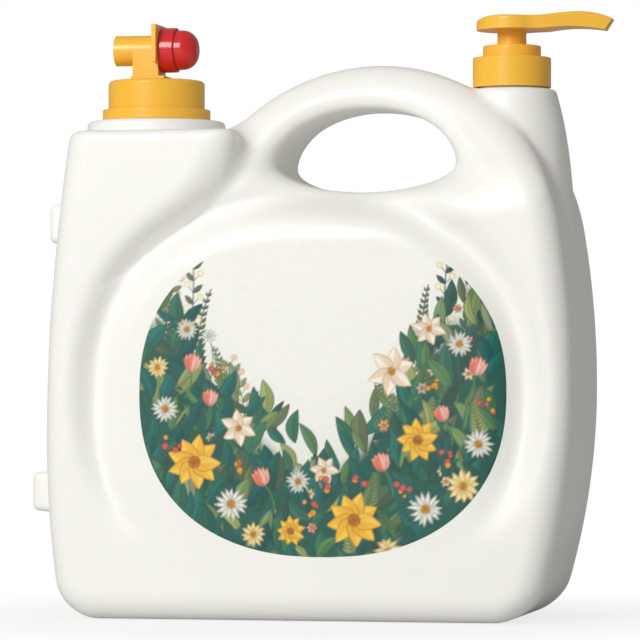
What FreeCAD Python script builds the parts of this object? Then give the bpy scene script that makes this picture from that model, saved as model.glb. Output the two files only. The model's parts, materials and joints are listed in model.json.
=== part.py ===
import FreeCAD, Part
import os
from math import asin, atan2, copysign, cos, hypot, pi, sin, sqrt
from FreeCAD import Rotation, Vector
import Sketcher

# A large laundry detergent jug: loop handle, press tap on the left neck,
# lotion pump on the right neck. Millimetres, +Z up, +X to the right, front at -Y.
# The origin is the centre of the base on the body's middle plane.

doc = FreeCAD.newDocument("detergent_bottle")

# Driving dimensions
SIZES = [
    ("bottle_depth", 116, "front panel to back panel"),
    ("wall", 1.6, "wall of the bottle"),
    ("left_reach", 141, "widest point of the left side"),
    ("right_reach", 142.5, "widest point of the right side"),
    ("left_widest_height", 95, "height of the widest point on the left"),
    ("right_widest_height", 125, "height of the widest point on the right"),
    ("left_upper_radius", 1073, "sweep of the left side above its widest point"),
    ("left_lower_radius", 540, "sweep of the left side below it"),
    ("right_lower_radius", 385, "sweep of the right side below its widest point"),
    ("base_corner_radius", 20, "corner between side and base"),
    ("edge_radius", 14, "rounding of the front and back edges"),
    ("column_height", 260, "top of the left tower"),
    ("column_right", 36, "tower's right edge at the top, left of the origin"),
    ("column_foot", 57, "tower's right edge where it bends down into the front panel"),
    ("column_foot_height", 220, "height of that bend"),
    ("column_bend_radius", 30, "rounding of the bend"),
    ("column_join", 29, "strip that the tower shares with the front panel"),
    ("column_edge_radius", 9, "rounding of the tower's right edges"),
    ("column_top_radius", 5, "rounding round the tower's top"),
    ("handle_centre", 33, "centre of the handle's loop, right of the origin"),
    ("handle_centre_height", 191.2, "height of that centre"),
    ("handle_setback", 5.5, "loop's right end inside the widest point"),
    ("handle_depth", 34, "depth of the grip"),
    ("shoulder_height", 212, "top of the front panel"),
    ("shoulder_rise", 48.7, "height over which the shoulder narrows to the grip"),
    ("shoulder_radius", 20, "rounding at the top of the front panel"),
    ("handle_root_radius", 45, "hollow rounding under the grip"),
    ("shoulder_tilt", 6, "degrees by which the shoulder rises to the right"),
    ("hand_hole_centre", 29.4, "centre of the hand hole, right of the origin"),
    ("hand_hole_centre_height", 242, "height of its widest line"),
    ("hand_hole_half_width", 46.7, "half width of the hand hole"),
    ("hand_hole_rise", 28.2, "arch of the hand hole above that line"),
    ("hand_hole_drop", 14, "floor of the hand hole below that line"),
    ("hand_hole_edge", 10, "rounding round the hand hole"),
    ("valley_centre", 2.3, "centre of the valley round the label"),
    ("valley_centre_height", 118, "height of that centre"),
    ("valley_half_width", 115.5, "half width of the valley's ring"),
    ("valley_half_height", 105, "half height of the valley's ring"),
    ("valley_radius", 9, "section of the valley"),
    ("valley_depth", 5.5, "depth of the valley at the ring's centre height"),
    ("valley_fade", 70, "drop over which the valley runs out to nothing"),
    ("panel_power", 2.3, "squareness of the valley and the label"),
    ("label_centre", 11, "centre of the label, right of the origin"),
    ("label_centre_height", 119.7, "height of that centre"),
    ("label_half_width", 98, "half width of the label"),
    ("label_half_height", 85.5, "half height of the label"),
    ("label_thickness", 0.15, "printed film"),
    ("foot_width", 70, "length of the side feet across the bottle"),
    ("foot_edge_radius", 3, "rounding of the side feet"),
    ("foot_slope", 4, "run of a side foot's sloped shoulders"),
    ("upper_foot_low", 197, "underside of the upper side foot"),
    ("upper_foot_high", 225, "top of the upper side foot"),
    ("upper_foot_reach", 143.2, "upper side foot's outer face"),
    ("lower_foot_low", 53, "underside of the lower side foot"),
    ("lower_foot_high", 81, "top of the lower side foot"),
    ("lower_foot_reach", 152.6, "lower side foot's outer face"),
    ("foot_root", 28, "side foot's root inside the widest point of the left side"),
    ("base_recess", 2.5, "two push-ups in the base, front and back"),
    ("base_recess_half_length", 92, "half length of the push-ups"),
    ("base_recess_half_width", 32, "their outer edges from the middle plane"),
    ("base_rib_half_width", 6, "flat rib left between them, which the jug's parting line crosses"),
    ("base_recess_corner", 10, "corners of the push-ups"),
    ("tap_axis", 92.6, "axis of the left neck, left of the origin"),
    ("boss_radius", 37.6, "raised ring round the left neck"),
    ("boss_height", 7.5, "height of that ring"),
    ("boss_edge_radius", 3, "rounding of that ring"),
    ("tap_neck_radius", 23, "left neck outside"),
    ("tap_neck_bore", 20.5, "left neck inside"),
    ("tap_neck_length", 17, "left neck above its ring"),
    ("pump_axis", 103.3, "axis of the right neck, right of the origin"),
    ("turret_height", 282, "top of the right tower"),
    ("turret_top_radius", 23.4, "radius of its top"),
    ("turret_radius", 36.5, "radius where it leaves the body"),
    ("turret_waist_height", 190, "height where its flank turns upright"),
    ("turret_top_edge", 1.5, "rounding of its top"),
    ("pump_neck_radius", 17.6, "right neck outside"),
    ("pump_neck_bore", 15.5, "right neck inside"),
    ("pump_neck_length", 12.6, "right neck above the tower"),
    ("fit_gap", 0.05, "radial gap of pieces pushed together"),
    ("guide_gap", 0.3, "gap round a piece that slides or turns"),
    ("thread_gap", 0.4, "radial room for the threads"),
    ("gasket_thickness", 1.2, "sealing washers"),
    ("tap_flange_radius", 22, "flange of the tap under its cap"),
    ("tap_flange_thickness", 2, "thickness of that flange"),
    ("cap_plate", 2, "top of the tap's cap"),
    ("cap_radius", 26.2, "tap's cap"),
    ("cap_skirt_radius", 29.3, "wide band at the cap's foot"),
    ("cap_skirt_height", 5.9, "height of that band"),
    ("cap_edge_radius", 2.4, "rounding of the cap's top"),
    ("cap_foot_gap", 0.5, "cap above the ring of the bottle"),
    ("tap_boss_radius", 17, "tap's boss through the cap"),
    ("tap_boss_rise", 0.5, "boss above the cap"),
    ("barrel_rise", 16.8, "spout barrel's axis above the cap"),
    ("barrel_radius", 8.25, "spout barrel outside"),
    ("barrel_bore", 6.2, "spout barrel inside"),
    ("spout_reach", 22.4, "spout's mouth left of the tap's axis"),
    ("barrel_length", 23.4, "spout's mouth to the finger plate"),
    ("barrel_wall", 3, "wall that closes the barrel behind the button"),
    ("leg_length", 14.3, "leg of the tap along the barrel"),
    ("leg_setback", 11, "leg's left face from the spout's mouth"),
    ("leg_bore", 4.6, "passage up the leg"),
    ("plinth_length", 18.5, "low plinth under the leg"),
    ("plinth_width", 24, "its width"),
    ("plinth_rise", 2.2, "its height"),
    ("finger_plate_thickness", 2.4, "finger plate"),
    ("finger_plate_width", 32, "finger plate across the tap"),
    ("finger_plate_low", 7, "finger plate below the barrel's axis"),
    ("finger_plate_high", 13.2, "finger plate above the barrel's axis"),
    ("spigot_radius", 8, "spigot that carries the red ring"),
    ("spigot_length", 4.2, "its length"),
    ("valve_setback", 8, "valve's step from the spout's mouth"),
    ("valve_step", 1.6, "thickness of that step"),
    ("valve_hole", 4.2, "hole through that step"),
    ("valve_seal_radius", 5.4, "rubber disc"),
    ("valve_seal_thickness", 1.6, "its thickness"),
    ("stem_radius", 1.6, "valve rod"),
    ("stem_head_radius", 3, "head of the valve rod"),
    ("stem_head_height", 1, "its height"),
    ("o_ring_section", 0.85, "radius of the ring's section"),
    ("collar_radius", 12.15, "red ring outside"),
    ("collar_wall", 1.1, "its wall"),
    ("collar_floor", 1.8, "its floor"),
    ("collar_length", 8.4, "its length"),
    ("button_travel", 4.5, "travel of the button"),
    ("button_length", 13.3, "button from skirt to crown"),
    ("button_wall", 1.4, "its wall"),
    ("button_crown", 1.9, "thickness of its crown"),
    ("button_round", 8.5, "rounding of its crown"),
    ("button_inner_slope", 3.2, "run of the slope inside its crown"),
    ("button_post_radius", 3.2, "post inside that holds the rod"),
    ("button_post_length", 6.6, "length of that post"),
    ("button_post_floor", 1.1, "post's blind end behind the crown's inside"),
    ("button_spring_radius", 4.4, "middle of the coil"),
    ("button_spring_wire", 0.45, "radius of the wire"),
    ("button_spring_turns", 5, "turns"),
    ("housing_bore", 8.6, "pump cylinder inside"),
    ("housing_wall", 1.4, "its wall"),
    ("housing_length", 57.2, "from the neck's rim to the spring's ledge"),
    ("housing_flange_radius", 16.9, "flange on the neck"),
    ("housing_flange_thickness", 1.5, "its thickness"),
    ("housing_collar_radius", 12.4, "upstand that carries the lock ring"),
    ("collar_plate", 1.8, "top of the pump's screw collar"),
    ("pump_collar_radius", 20.9, "pump's screw collar"),
    ("pump_collar_gap", 1.1, "collar above the tower"),
    ("pump_collar_edge", 0.8, "rounding of its top"),
    ("lock_ring_radius", 15.5, "lock ring"),
    ("lock_ring_height", 6.3, "its height above the collar"),
    ("lock_ring_spigot", 6.7, "its spigot down into the cylinder"),
    ("lock_ring_floor", 1.8, "its floor round the rod"),
    ("lock_ring_edge", 0.8, "rounding of its top"),
    ("head_gap", 8.4, "neck of the head seen above the lock ring"),
    ("head_neck_radius", 7.75, "neck of the head"),
    ("head_radius", 18.9, "round pad of the head"),
    ("head_height", 7.1, "its height"),
    ("head_crown", 0.5, "crown of the pad"),
    ("nozzle_reach", 54.5, "nozzle's tip from the pump's axis"),
    ("nozzle_tip_height", 5.2, "height of the tip's upper corner above the pad's underside"),
    ("nozzle_hump", 8.8, "height of the nozzle's hump above the pad's underside"),
    ("nozzle_hump_reach", 32, "place of that hump"),
    ("nozzle_cut", 3.9, "slant of the tip"),
    ("nozzle_root_half_width", 15, "half width where the nozzle leaves the pad"),
    ("nozzle_tip_half_width", 5.2, "half width at the tip"),
    ("nozzle_bore", 1.3, "passage through the nozzle"),
    ("nozzle_bore_height", 4.4, "its height over the rod, above the pad's underside"),
    ("nozzle_bore_end", 2.3, "its height at the tip"),
    ("nozzle_arch", 1, "hollow of the nozzle's underside"),
    ("nozzle_arch_reach", 34, "place of that hollow"),
    ("nozzle_tip_drop", 0.8, "tip's lower corner below the pad's underside"),
    ("head_edge", 1.6, "rounding of the head's upper edges"),
    ("rod_radius", 4, "hollow pump rod outside"),
    ("rod_bore", 2.6, "hollow pump rod inside"),
    ("rod_collar_radius", 5.4, "collar on the rod above the piston"),
    ("rod_collar_height", 1.8, "its height"),
    ("rod_socket_depth", 2.3, "rod's end above the pad's underside"),
    ("piston_height", 7, "piston"),
    ("piston_play", 0.2, "piston's play under the rod's collar"),
    ("piston_gap", 0.06, "radial gap of the piston in its cylinder"),
    ("plug_radius", 5.2, "flange of the plug in the rod's foot"),
    ("plug_thickness", 2, "its thickness"),
    ("plug_depth", 6, "plug inside the rod"),
    ("pump_spring_height", 17.8, "spring with the head locked down"),
    ("pump_spring_radius", 4.4, "middle of the coil"),
    ("pump_spring_wire", 0.6, "radius of the wire"),
    ("pump_spring_turns", 8, "turns"),
    ("retainer_flange", 1.2, "flange of the ball's retainer"),
    ("retainer_skirt", 1.5, "skirt of the retainer in the ball's chamber"),
    ("retainer_hole", 2, "hole through the retainer"),
    ("ball_radius", 3.4, "foot valve's ball"),
    ("ball_chamber_radius", 4, "ball's chamber"),
    ("ball_chamber_height", 10, "its height"),
    ("ball_hole", 2.4, "hole that the ball closes"),
    ("ball_floor", 2, "floor round that hole"),
    ("socket_length", 14, "socket for the dip tube"),
    ("socket_wall", 1.55, "its wall"),
    ("tube_radius", 4, "dip tube outside"),
    ("tube_bore", 2.9, "dip tube inside"),
    ("tube_end_height", 8, "dip tube's lower end above the table"),
]

sheet = doc.addObject("Spreadsheet::Sheet", "size")
for row, (alias, value, meaning) in enumerate(SIZES, start=1):
    sheet.set(f"A{row}", meaning)
    sheet.set(f"B{row}", str(value))
    sheet.setAlias(f"B{row}", alias)
doc.recompute()


def total(*terms):
    """Write a sum of sheet sizes as one expression; a leading minus subtracts."""
    text = ""
    for term in terms:
        sign = " - " if term.startswith("-") else " + "
        text += sign + term.lstrip("-")
    return text.removeprefix(" + ").strip()


def size(alias):
    """One sheet size as an expression."""
    return "size." + alias


def value(expression):
    """The number that an expression of sheet sizes gives now."""
    return float(sheet.evalExpression(expression))


# Heights of the faces where the pieces of the tap meet
BOSS_TOP = total(size("column_height"), size("boss_height"))
TAP_RIM = total(BOSS_TOP, size("tap_neck_length"))
TAP_FLANGE_LOW = total(TAP_RIM, size("gasket_thickness"))
TAP_FLANGE_TOP = total(TAP_FLANGE_LOW, size("tap_flange_thickness"))
CAP_TOP = total(TAP_FLANGE_TOP, size("cap_plate"))
BARREL_HEIGHT = total(CAP_TOP, size("barrel_rise"))

# Places along the spout barrel, measured from its mouth towards the button
PLATE_RIGHT = total(size("barrel_length"), size("finger_plate_thickness"))
SPIGOT_END = total(PLATE_RIGHT, size("spigot_length"))
BUTTON_SKIRT = total(PLATE_RIGHT, size("collar_floor"), size("button_travel"), size("guide_gap"))
BUTTON_END = total(BUTTON_SKIRT, size("button_length"))
BUTTON_INSIDE = total(BUTTON_END, "-" + size("button_crown"))
ROD_END = total(BUTTON_INSIDE, "-" + size("button_post_floor"))
SEAL_LOW = total(size("valve_setback"), "-" + size("valve_seal_thickness"))
SPOUT_X = "-" + size("tap_axis") + " - " + size("spout_reach")

# Heights of the faces where the pieces of the pump meet
PUMP_RIM = total(size("turret_height"), size("pump_neck_length"))
HOUSING_FLANGE_LOW = total(PUMP_RIM, size("gasket_thickness"))
HOUSING_FLANGE_TOP = total(HOUSING_FLANGE_LOW, size("housing_flange_thickness"))
COLLAR_TOP = total(HOUSING_FLANGE_TOP, size("collar_plate"))
LOCK_RING_TOP = total(COLLAR_TOP, size("lock_ring_height"))
LOCK_RING_FLOOR = total(COLLAR_TOP, size("lock_ring_floor"))
HEAD_LOW = total(LOCK_RING_TOP, size("head_gap"))
HOUSING_LEDGE = total(PUMP_RIM, "-" + size("housing_length"))
BALL_FLOOR = total(HOUSING_LEDGE, "-" + size("ball_chamber_height"))
SOCKET_TOP = total(BALL_FLOOR, "-" + size("ball_floor"))
SOCKET_LOW = total(SOCKET_TOP, "-" + size("socket_length"))
RETAINER_TOP = total(HOUSING_LEDGE, size("retainer_flange"))
PLUG_LOW = total(RETAINER_TOP, size("pump_spring_height"))
ROD_FOOT = total(PLUG_LOW, size("plug_thickness"))
PISTON_TOP = total(ROD_FOOT, size("piston_height"))
ROD_COLLAR_LOW = total(PISTON_TOP, size("piston_play"))
ROD_COLLAR_TOP = total(ROD_COLLAR_LOW, size("rod_collar_height"))
ROD_TOP = total(HEAD_LOW, size("rod_socket_depth"))

PIECES = []


def keep(piece, label):
    """Count an object as a finished piece of the product under this label."""
    piece.Label = label
    PIECES.append(piece)
    return piece


# Turned pieces

def place_turned(body, axis_x, lying):
    """Stand a turned piece on a vertical axis, or lay it along the spout barrel."""
    if lying:
        body.Placement = FreeCAD.Placement(Vector(), Rotation(Vector(0, 1, 0), 90))
        body.setExpression("Placement.Base.z", BARREL_HEIGHT)
    body.setExpression("Placement.Base.x", axis_x)


def bind_point(sketch, index, radius, height):
    """Tie the start of one profile line to its radius and its place along the axis."""
    for expression, kind, axis in ((radius, "DistanceX", -2), (height, "DistanceY", -1)):
        if expression == "0":
            sketch.addConstraint(Sketcher.Constraint("PointOnObject", index, 1, axis))
            continue
        number = value(expression)
        row = sketch.addConstraint(Sketcher.Constraint(kind, -1, 1, index, 1, number))
        sketch.setExpression(f"Constraints[{row}]", expression)


def turned(label, profile, axis_x, lying=False):
    """A body of revolution from a closed profile of (radius, place along the axis)."""
    body = doc.addObject("PartDesign::Body", label)
    place_turned(body, axis_x, lying)
    sketch = body.newObject("Sketcher::SketchObject", label + "_profile")
    plane = [item for item in body.Origin.OriginFeatures if item.Role == "XZ_Plane"][0]
    sketch.AttachmentSupport = [(plane, "")]
    sketch.MapMode = "FlatFace"
    corners = [Vector(value(radius), value(height), 0) for radius, height in profile]
    count = len(corners)
    for index in range(count):
        line = Part.LineSegment(corners[index], corners[(index + 1) % count])
        sketch.addGeometry(line, False)
    for index in range(count):
        following = (index + 1) % count
        sketch.addConstraint(Sketcher.Constraint("Coincident", index, 2, following, 1))
    for index, (radius, height) in enumerate(profile):
        bind_point(sketch, index, radius, height)
    turn = body.newObject("PartDesign::Revolution", label + "_turn")
    turn.Profile = sketch
    turn.ReferenceAxis = (sketch, ["V_Axis"])
    turn.Angle = 360
    body.Tip = turn
    sketch.Visibility = False
    doc.recompute()
    return keep(body, label)


def round_rim(body, amount, radius, height):
    """Round the circular edge of a turned piece at this radius and place along its axis."""
    tip = body.Tip
    names = []
    for number, edge in enumerate(tip.Shape.Edges, start=1):
        circle = edge.Curve
        if circle.TypeId != "Part::GeomCircle":
            continue
        level = abs(circle.Center.z - value(height)) < 1e-4
        if level and abs(circle.Radius - value(radius)) < 1e-4:
            names.append(f"Edge{number}")
    rounding = body.newObject("PartDesign::Fillet", f"{body.Name}_rim_{len(body.Group)}")
    rounding.Base = (tip, names)
    rounding.setExpression("Radius", amount)
    body.Tip = rounding
    doc.recompute()


# Straight pieces

def set_base(item, x, y, z):
    """Tie a primitive's place to expressions."""
    for letter, expression in zip("xyz", (x, y, z)):
        if expression != "0":
            item.setExpression("Placement.Base." + letter, expression)


def block(name, x, width, z, length, height):
    """A box of this length along X and height along Z, centred on the middle plane."""
    item = doc.addObject("Part::Box", name)
    item.setExpression("Length", length)
    item.setExpression("Width", width)
    item.setExpression("Height", height)
    set_base(item, x, f"-({width}) / 2", z)
    return item


def rod(name, x, z, radius, length, lying=False):
    """A cylinder that stands on a point, or lies along X from it."""
    item = doc.addObject("Part::Cylinder", name)
    if lying:
        item.Placement = FreeCAD.Placement(Vector(), Rotation(Vector(0, 1, 0), 90))
    item.setExpression("Radius", radius)
    item.setExpression("Height", length)
    set_base(item, x, "0", z)
    return item


def coil(label, x, z, radius, wire, turns, height, lying=False):
    """A compression spring: a round wire swept along a helix between two faces."""
    line = doc.addObject("Part::Helix", label + "_line")
    line.setExpression("Radius", radius)
    line.setExpression("Height", f"{height} - 2 * {wire}")
    line.setExpression("Pitch", f"({height} - 2 * {wire}) / {turns}")
    section = doc.addObject("Part::Circle", label + "_section")
    section.Placement = FreeCAD.Placement(Vector(), Rotation(Vector(1, 0, 0), 90))
    section.setExpression("Radius", wire)
    section.setExpression("Placement.Base.x", radius)
    spring = doc.addObject("Part::Sweep", label)
    spring.Sections = [section]
    # One edge to each turn
    line.SegmentLength = 1
    doc.recompute()
    spring.Spine = (line, [f"Edge{number}" for number in range(1, len(line.Shape.Edges) + 1)])
    spring.Solid = True
    spring.Frenet = True
    if lying:
        spring.Placement = FreeCAD.Placement(Vector(), Rotation(Vector(0, 1, 0), 90))
        set_base(spring, f"{x} + {wire}", "0", z)
    else:
        set_base(spring, x, "0", f"{z} + {wire}")
    doc.recompute()
    return keep(spring, label)


# Bottle outlines. Each takes an inset: none for the outside, the wall for the cavity.

def read(alias):
    """One sheet size as a number."""
    return value(size(alias))


def upright(x, z):
    """A point on the body's middle plane."""
    return Vector(x, 0, z)


def arc(centre_x, centre_z, radius, start, end):
    """An arc on the middle plane between two angles."""
    def at(angle):
        return upright(centre_x + radius * cos(angle), centre_z + radius * sin(angle))
    return Part.Arc(at(start), at((start + end) / 2), at(end)).toShape()


def closed(edges):
    """Join loose edges into one closed outline."""
    return Part.Wire(Part.__sortEdges__(edges))


def slab(outline, half_depth, inset):
    """Extrude an outline to both sides of the middle plane, inset all round."""
    face = Part.Face(outline)
    if inset:
        face = face.makeOffset2D(-inset, 2)
    depth = half_depth - inset
    face = face.copy()
    face.translate(Vector(0, -depth, 0))
    return face.extrude(Vector(0, 2 * depth, 0))


def pick(shape, test):
    """Edges whose middle point and end-to-end vector pass a test."""
    picked = []
    for edge in shape.Edges:
        middle = edge.valueAt((edge.FirstParameter + edge.LastParameter) / 2)
        run = edge.valueAt(edge.LastParameter) - edge.valueAt(edge.FirstParameter)
        if test(middle, run):
            picked.append(edge)
    return picked


def crosses(run):
    """An edge that runs from front to back."""
    return abs(run.y) > 1


HALF_DEPTH = read("bottle_depth") / 2
HANDLE_RADIUS = read("right_reach") - read("handle_setback") - read("handle_centre")
# A cutter's half depth, clear of both faces
PAST_FACE = HALF_DEPTH + 10
# Tolerance that tells a picked edge's level or place
NEAR = 0.05


def loop_outline():
    """Base, right side and the handle's round back, which ends inside the left tower."""
    reach = read("right_reach")
    widest = read("right_widest_height")
    low_radius = read("right_lower_radius")
    centre_x = read("handle_centre")
    centre_z = read("handle_centre_height")
    # The upper side arc touches the handle's circle from inside
    run = reach - centre_x
    rise = centre_z - widest
    top_radius = (run**2 + rise**2 - HANDLE_RADIUS**2) / (2 * (run - HANDLE_RADIUS))
    touch = atan2(rise, top_radius - run)
    base_angle = -asin(widest / low_radius)
    base_right = upright(reach - low_radius + low_radius * cos(base_angle), 0)
    base_left = upright(centre_x - HANDLE_RADIUS, 0)
    back_left = upright(centre_x - HANDLE_RADIUS, centre_z)
    return closed([
        arc(reach - low_radius, widest, low_radius, base_angle, 0),
        arc(reach - top_radius, widest, top_radius, 0, touch),
        arc(centre_x, centre_z, HANDLE_RADIUS, touch, pi),
        Part.makeLine(back_left, base_left),
        Part.makeLine(base_left, base_right),
    ])


def half_ellipse(centre_x, centre_z, half_width, height):
    """The upper half of an ellipse on the middle plane, or the lower half for a negative height."""
    wide = half_width >= abs(height)
    ellipse = Part.Ellipse(Vector(), max(half_width, abs(height)), min(half_width, abs(height)))
    start = 0 if wide else -pi / 2
    edge = Part.ArcOfEllipse(ellipse, start, start + pi).toShape()
    if not wide:
        edge.rotate(Vector(), Vector(0, 0, 1), 90)
    edge.rotate(Vector(), Vector(1, 0, 0), copysign(90, height))
    edge.translate(upright(centre_x, centre_z))
    return edge


def hand_hole(inset):
    """The hand hole as a solid that runs past both faces: a high arch over a shallow bowl."""
    centre_x = read("hand_hole_centre")
    centre_z = read("hand_hole_centre_height")
    half_width = read("hand_hole_half_width") + inset
    return slab(closed([
        half_ellipse(centre_x, centre_z, half_width, read("hand_hole_rise") + inset),
        half_ellipse(centre_x, centre_z, half_width, -read("hand_hole_drop") - inset),
    ]), PAST_FACE, 0)


def shoulder_profile(inset):
    """The side view: full depth up to the shoulder, then in to the grip, along X."""
    panel = HALF_DEPTH
    grip = read("handle_depth") / 2
    shoulder = read("shoulder_height")
    root = shoulder + read("shoulder_rise")
    top = read("handle_centre_height") + 2 * HANDLE_RADIUS
    half = [(panel, -panel), (panel, shoulder), (grip, root), (grip, top)]
    other = [(-y, z) for y, z in reversed(half)]
    far_left = -2 * read("left_reach")
    corners = [Vector(far_left, y, z) for y, z in half + other]
    face = Part.Face(Part.makePolygon(corners + corners[:1]))
    if inset:
        face = face.makeOffset2D(-inset, 2)
    block_shape = face.extrude(Vector(-2 * far_left, 0, 0))
    # An inset moves these edges, by less than twice the wall
    slack = 2 * inset + NEAR
    for level, radius in ((shoulder, read("shoulder_radius") - inset),
                          (root, read("handle_root_radius") + inset)):
        bends = pick(block_shape, lambda middle, run: abs(run.x) > 1 and abs(middle.z - level) < slack)
        block_shape = block_shape.makeFillet(radius, bends)
    block_shape.rotate(Vector(read("hand_hole_centre"), 0, shoulder), Vector(0, 1, 0), -read("shoulder_tilt"))
    return block_shape


def loop_block(inset):
    """Body right of the tower, with the shoulder, the handle and the hand hole."""
    loop = slab(loop_outline(), HALF_DEPTH, inset)
    base_corners = pick(loop, lambda middle, run: crosses(run) and middle.z < inset + NEAR)
    loop = loop.makeFillet(read("base_corner_radius") - inset, base_corners)
    loop = loop.common(shoulder_profile(inset))
    loop = loop.cut(hand_hole(inset)).Solids[0]
    hole_x = read("hand_hole_centre")
    hole_z = read("hand_hole_centre_height")
    half_width = read("hand_hole_half_width") + inset

    def lies_flat(edge):
        """An edge between two bands of the shoulder, which stays sharp."""
        return edge.Curve.TypeId == "Part::GeomLine"

    def round_hole(middle):
        """On the outline of the hand hole."""
        above = middle.z > hole_z
        height = (read("hand_hole_rise") if above else read("hand_hole_drop")) + inset
        reached = hypot((middle.x - hole_x) / half_width, (middle.z - hole_z) / height)
        return abs(reached - 1) < NEAR

    def rim(shape, inside):
        """Edges between the faces and either the hand hole's wall or the outer side."""
        edges = []
        for edge in pick(shape, lambda middle, run: abs(middle.y) > NEAR):
            middle = edge.valueAt((edge.FirstParameter + edge.LastParameter) / 2)
            low = abs(middle.z - inset) < NEAR
            across = abs(edge.tangentAt(edge.FirstParameter).x) > 1 - NEAR
            if lies_flat(edge) and across and not low:
                continue
            if round_hole(middle) == inside:
                edges.append(edge)
        return edges

    loop = loop.makeFillet(read("edge_radius") - inset, rim(loop, False))
    return loop.makeFillet(read("hand_hole_edge") - inset, rim(loop, True))


def column_outline():
    """The left tower, with the whole left side of the body."""
    reach = read("left_reach")
    widest = read("left_widest_height")
    top = read("column_height")
    upper = read("left_upper_radius")
    lower = read("left_lower_radius")
    rise = asin((top - widest) / upper)
    fall = asin(widest / lower)
    foot = -read("column_foot")
    foot_height = read("column_foot_height")
    right = -read("column_right")
    # Below the shoulder the tower runs on into the body, flush with the front panel
    join = foot + read("column_join")
    join_height = read("shoulder_height") - read("shoulder_radius")
    top_left = upright(upper - reach - upper * cos(rise), top)
    base_left = upright(lower - reach - lower * cos(fall), 0)
    return closed([
        arc(upper - reach, widest, upper, pi - rise, pi),
        arc(lower - reach, widest, lower, pi, pi + fall),
        Part.makeLine(base_left, upright(join, 0)),
        Part.makeLine(upright(join, 0), upright(join, join_height)),
        Part.makeLine(upright(join, join_height), upright(foot, join_height)),
        Part.makeLine(upright(foot, join_height), upright(foot, foot_height)),
        Part.makeLine(upright(foot, foot_height), upright(right, top)),
        Part.makeLine(upright(right, top), top_left),
    ])


def column_block(inset):
    """The left tower as a solid, edges rounded."""
    tower = slab(column_outline(), HALF_DEPTH, inset)
    top = read("column_height") - inset
    foot = -read("column_foot") - inset
    foot_height = read("column_foot_height")
    middle_x = (foot - read("left_reach")) / 2
    base_corner = pick(tower, lambda middle, run: crosses(run) and middle.x < middle_x and middle.z < inset + NEAR)
    tower = tower.makeFillet(read("base_corner_radius") - inset, base_corner)
    bend = pick(tower, lambda middle, run: crosses(run) and middle.x > foot - NEAR
                and abs(middle.z - foot_height) < 2 * inset + NEAR)
    tower = tower.makeFillet(read("column_bend_radius") + inset, bend)
    face = HALF_DEPTH - inset

    def on_face(middle):
        return abs(abs(middle.y) - face) < NEAR and middle.z < top - NEAR

    left = pick(tower, lambda middle, run: on_face(middle) and middle.x < middle_x)
    base = pick(tower, lambda middle, run: on_face(middle) and middle.z < inset + NEAR)
    tower = tower.makeFillet(read("edge_radius") - inset, left + base)
    join_height = read("shoulder_height") - read("shoulder_radius")
    right = pick(tower, lambda middle, run: on_face(middle) and middle.x > foot - NEAR
                 and middle.z > join_height + NEAR)
    tower = tower.makeFillet(read("column_edge_radius") - inset, right)
    rim = pick(tower, lambda middle, run: abs(middle.z - top) < NEAR)
    return tower.makeFillet(read("column_top_radius") - inset, rim)


def revolved(outline, axis_x):
    """Turn a closed outline of (radius, height) edges or points about a vertical axis."""
    face = Part.Face(outline)
    solid = face.revolve(Vector(0, 0, 0), Vector(0, 0, 1), 360)
    solid.translate(Vector(axis_x, 0, 0))
    return solid


def turret_cone(inset):
    """The right tower: a flank that curves from upright to its top, cut clear of the hand hole."""
    top = read("turret_height")
    waist = read("turret_waist_height")
    wide = read("turret_radius")
    narrow = read("turret_top_radius")
    rise = top - waist
    step = wide - narrow
    flank_radius = (rise**2 + step**2) / (2 * step)
    angle = asin(rise / flank_radius)
    low = waist - wide
    flank = arc(wide - flank_radius, waist, flank_radius, 0, angle)
    outline = closed([
        flank,
        Part.makeLine(upright(narrow, top), upright(0, top)),
        Part.makeLine(upright(0, top), upright(0, low)),
        Part.makeLine(upright(0, low), upright(wide, low)),
        Part.makeLine(upright(wide, low), upright(wide, waist)),
    ])
    cone = revolved(outline, 0)
    rim = pick(cone, lambda middle, run: abs(middle.z - top) < NEAR and hypot(middle.x, middle.y) > NEAR)
    cone = cone.makeFillet(read("turret_top_edge"), rim)
    if inset:
        cone = revolved(cone_inside(inset, flank_radius, angle), 0)
    cone.translate(Vector(read("pump_axis"), 0, 0))
    return cone.cut(hand_hole(inset))


def cone_inside(inset, flank_radius, angle):
    """Outline of the right tower's cavity."""
    top = read("turret_height") - inset
    waist = read("turret_waist_height")
    wide = read("turret_radius") - inset
    inner_radius = flank_radius - inset
    centre = wide - inner_radius
    reached = asin((top - waist) / inner_radius)
    narrow = centre + inner_radius * cos(reached)
    low = waist - wide
    return closed([
        arc(centre, waist, inner_radius, 0, reached),
        Part.makeLine(upright(narrow, top), upright(0, top)),
        Part.makeLine(upright(0, top), upright(0, low)),
        Part.makeLine(upright(0, low), upright(wide, low)),
        Part.makeLine(upright(wide, low), upright(wide, waist)),
    ])


def drum(axis_x, radius, low, high):
    """A plain upright cylinder."""
    return Part.makeCylinder(radius, high - low, Vector(axis_x, 0, low))


def side_foot(name, inset):
    """One of the two bars on the left side that the jug lies on."""
    low = read(name + "_low") + inset
    high = read(name + "_high") - inset
    outer = -read(name + "_reach") + inset
    inner = -read("left_reach") + read("foot_root")
    slope = read("foot_slope")
    corners = [upright(inner, low), upright(outer, low + slope), upright(outer, high - slope), upright(inner, high)]
    half = read("foot_width") / 2
    bar = slab(Part.makePolygon(corners + corners[:1]), half - inset, 0)
    edges = pick(bar, lambda middle, run: middle.x < inner - NEAR)
    return bar.makeFillet(read("foot_edge_radius") - inset, edges)


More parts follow.
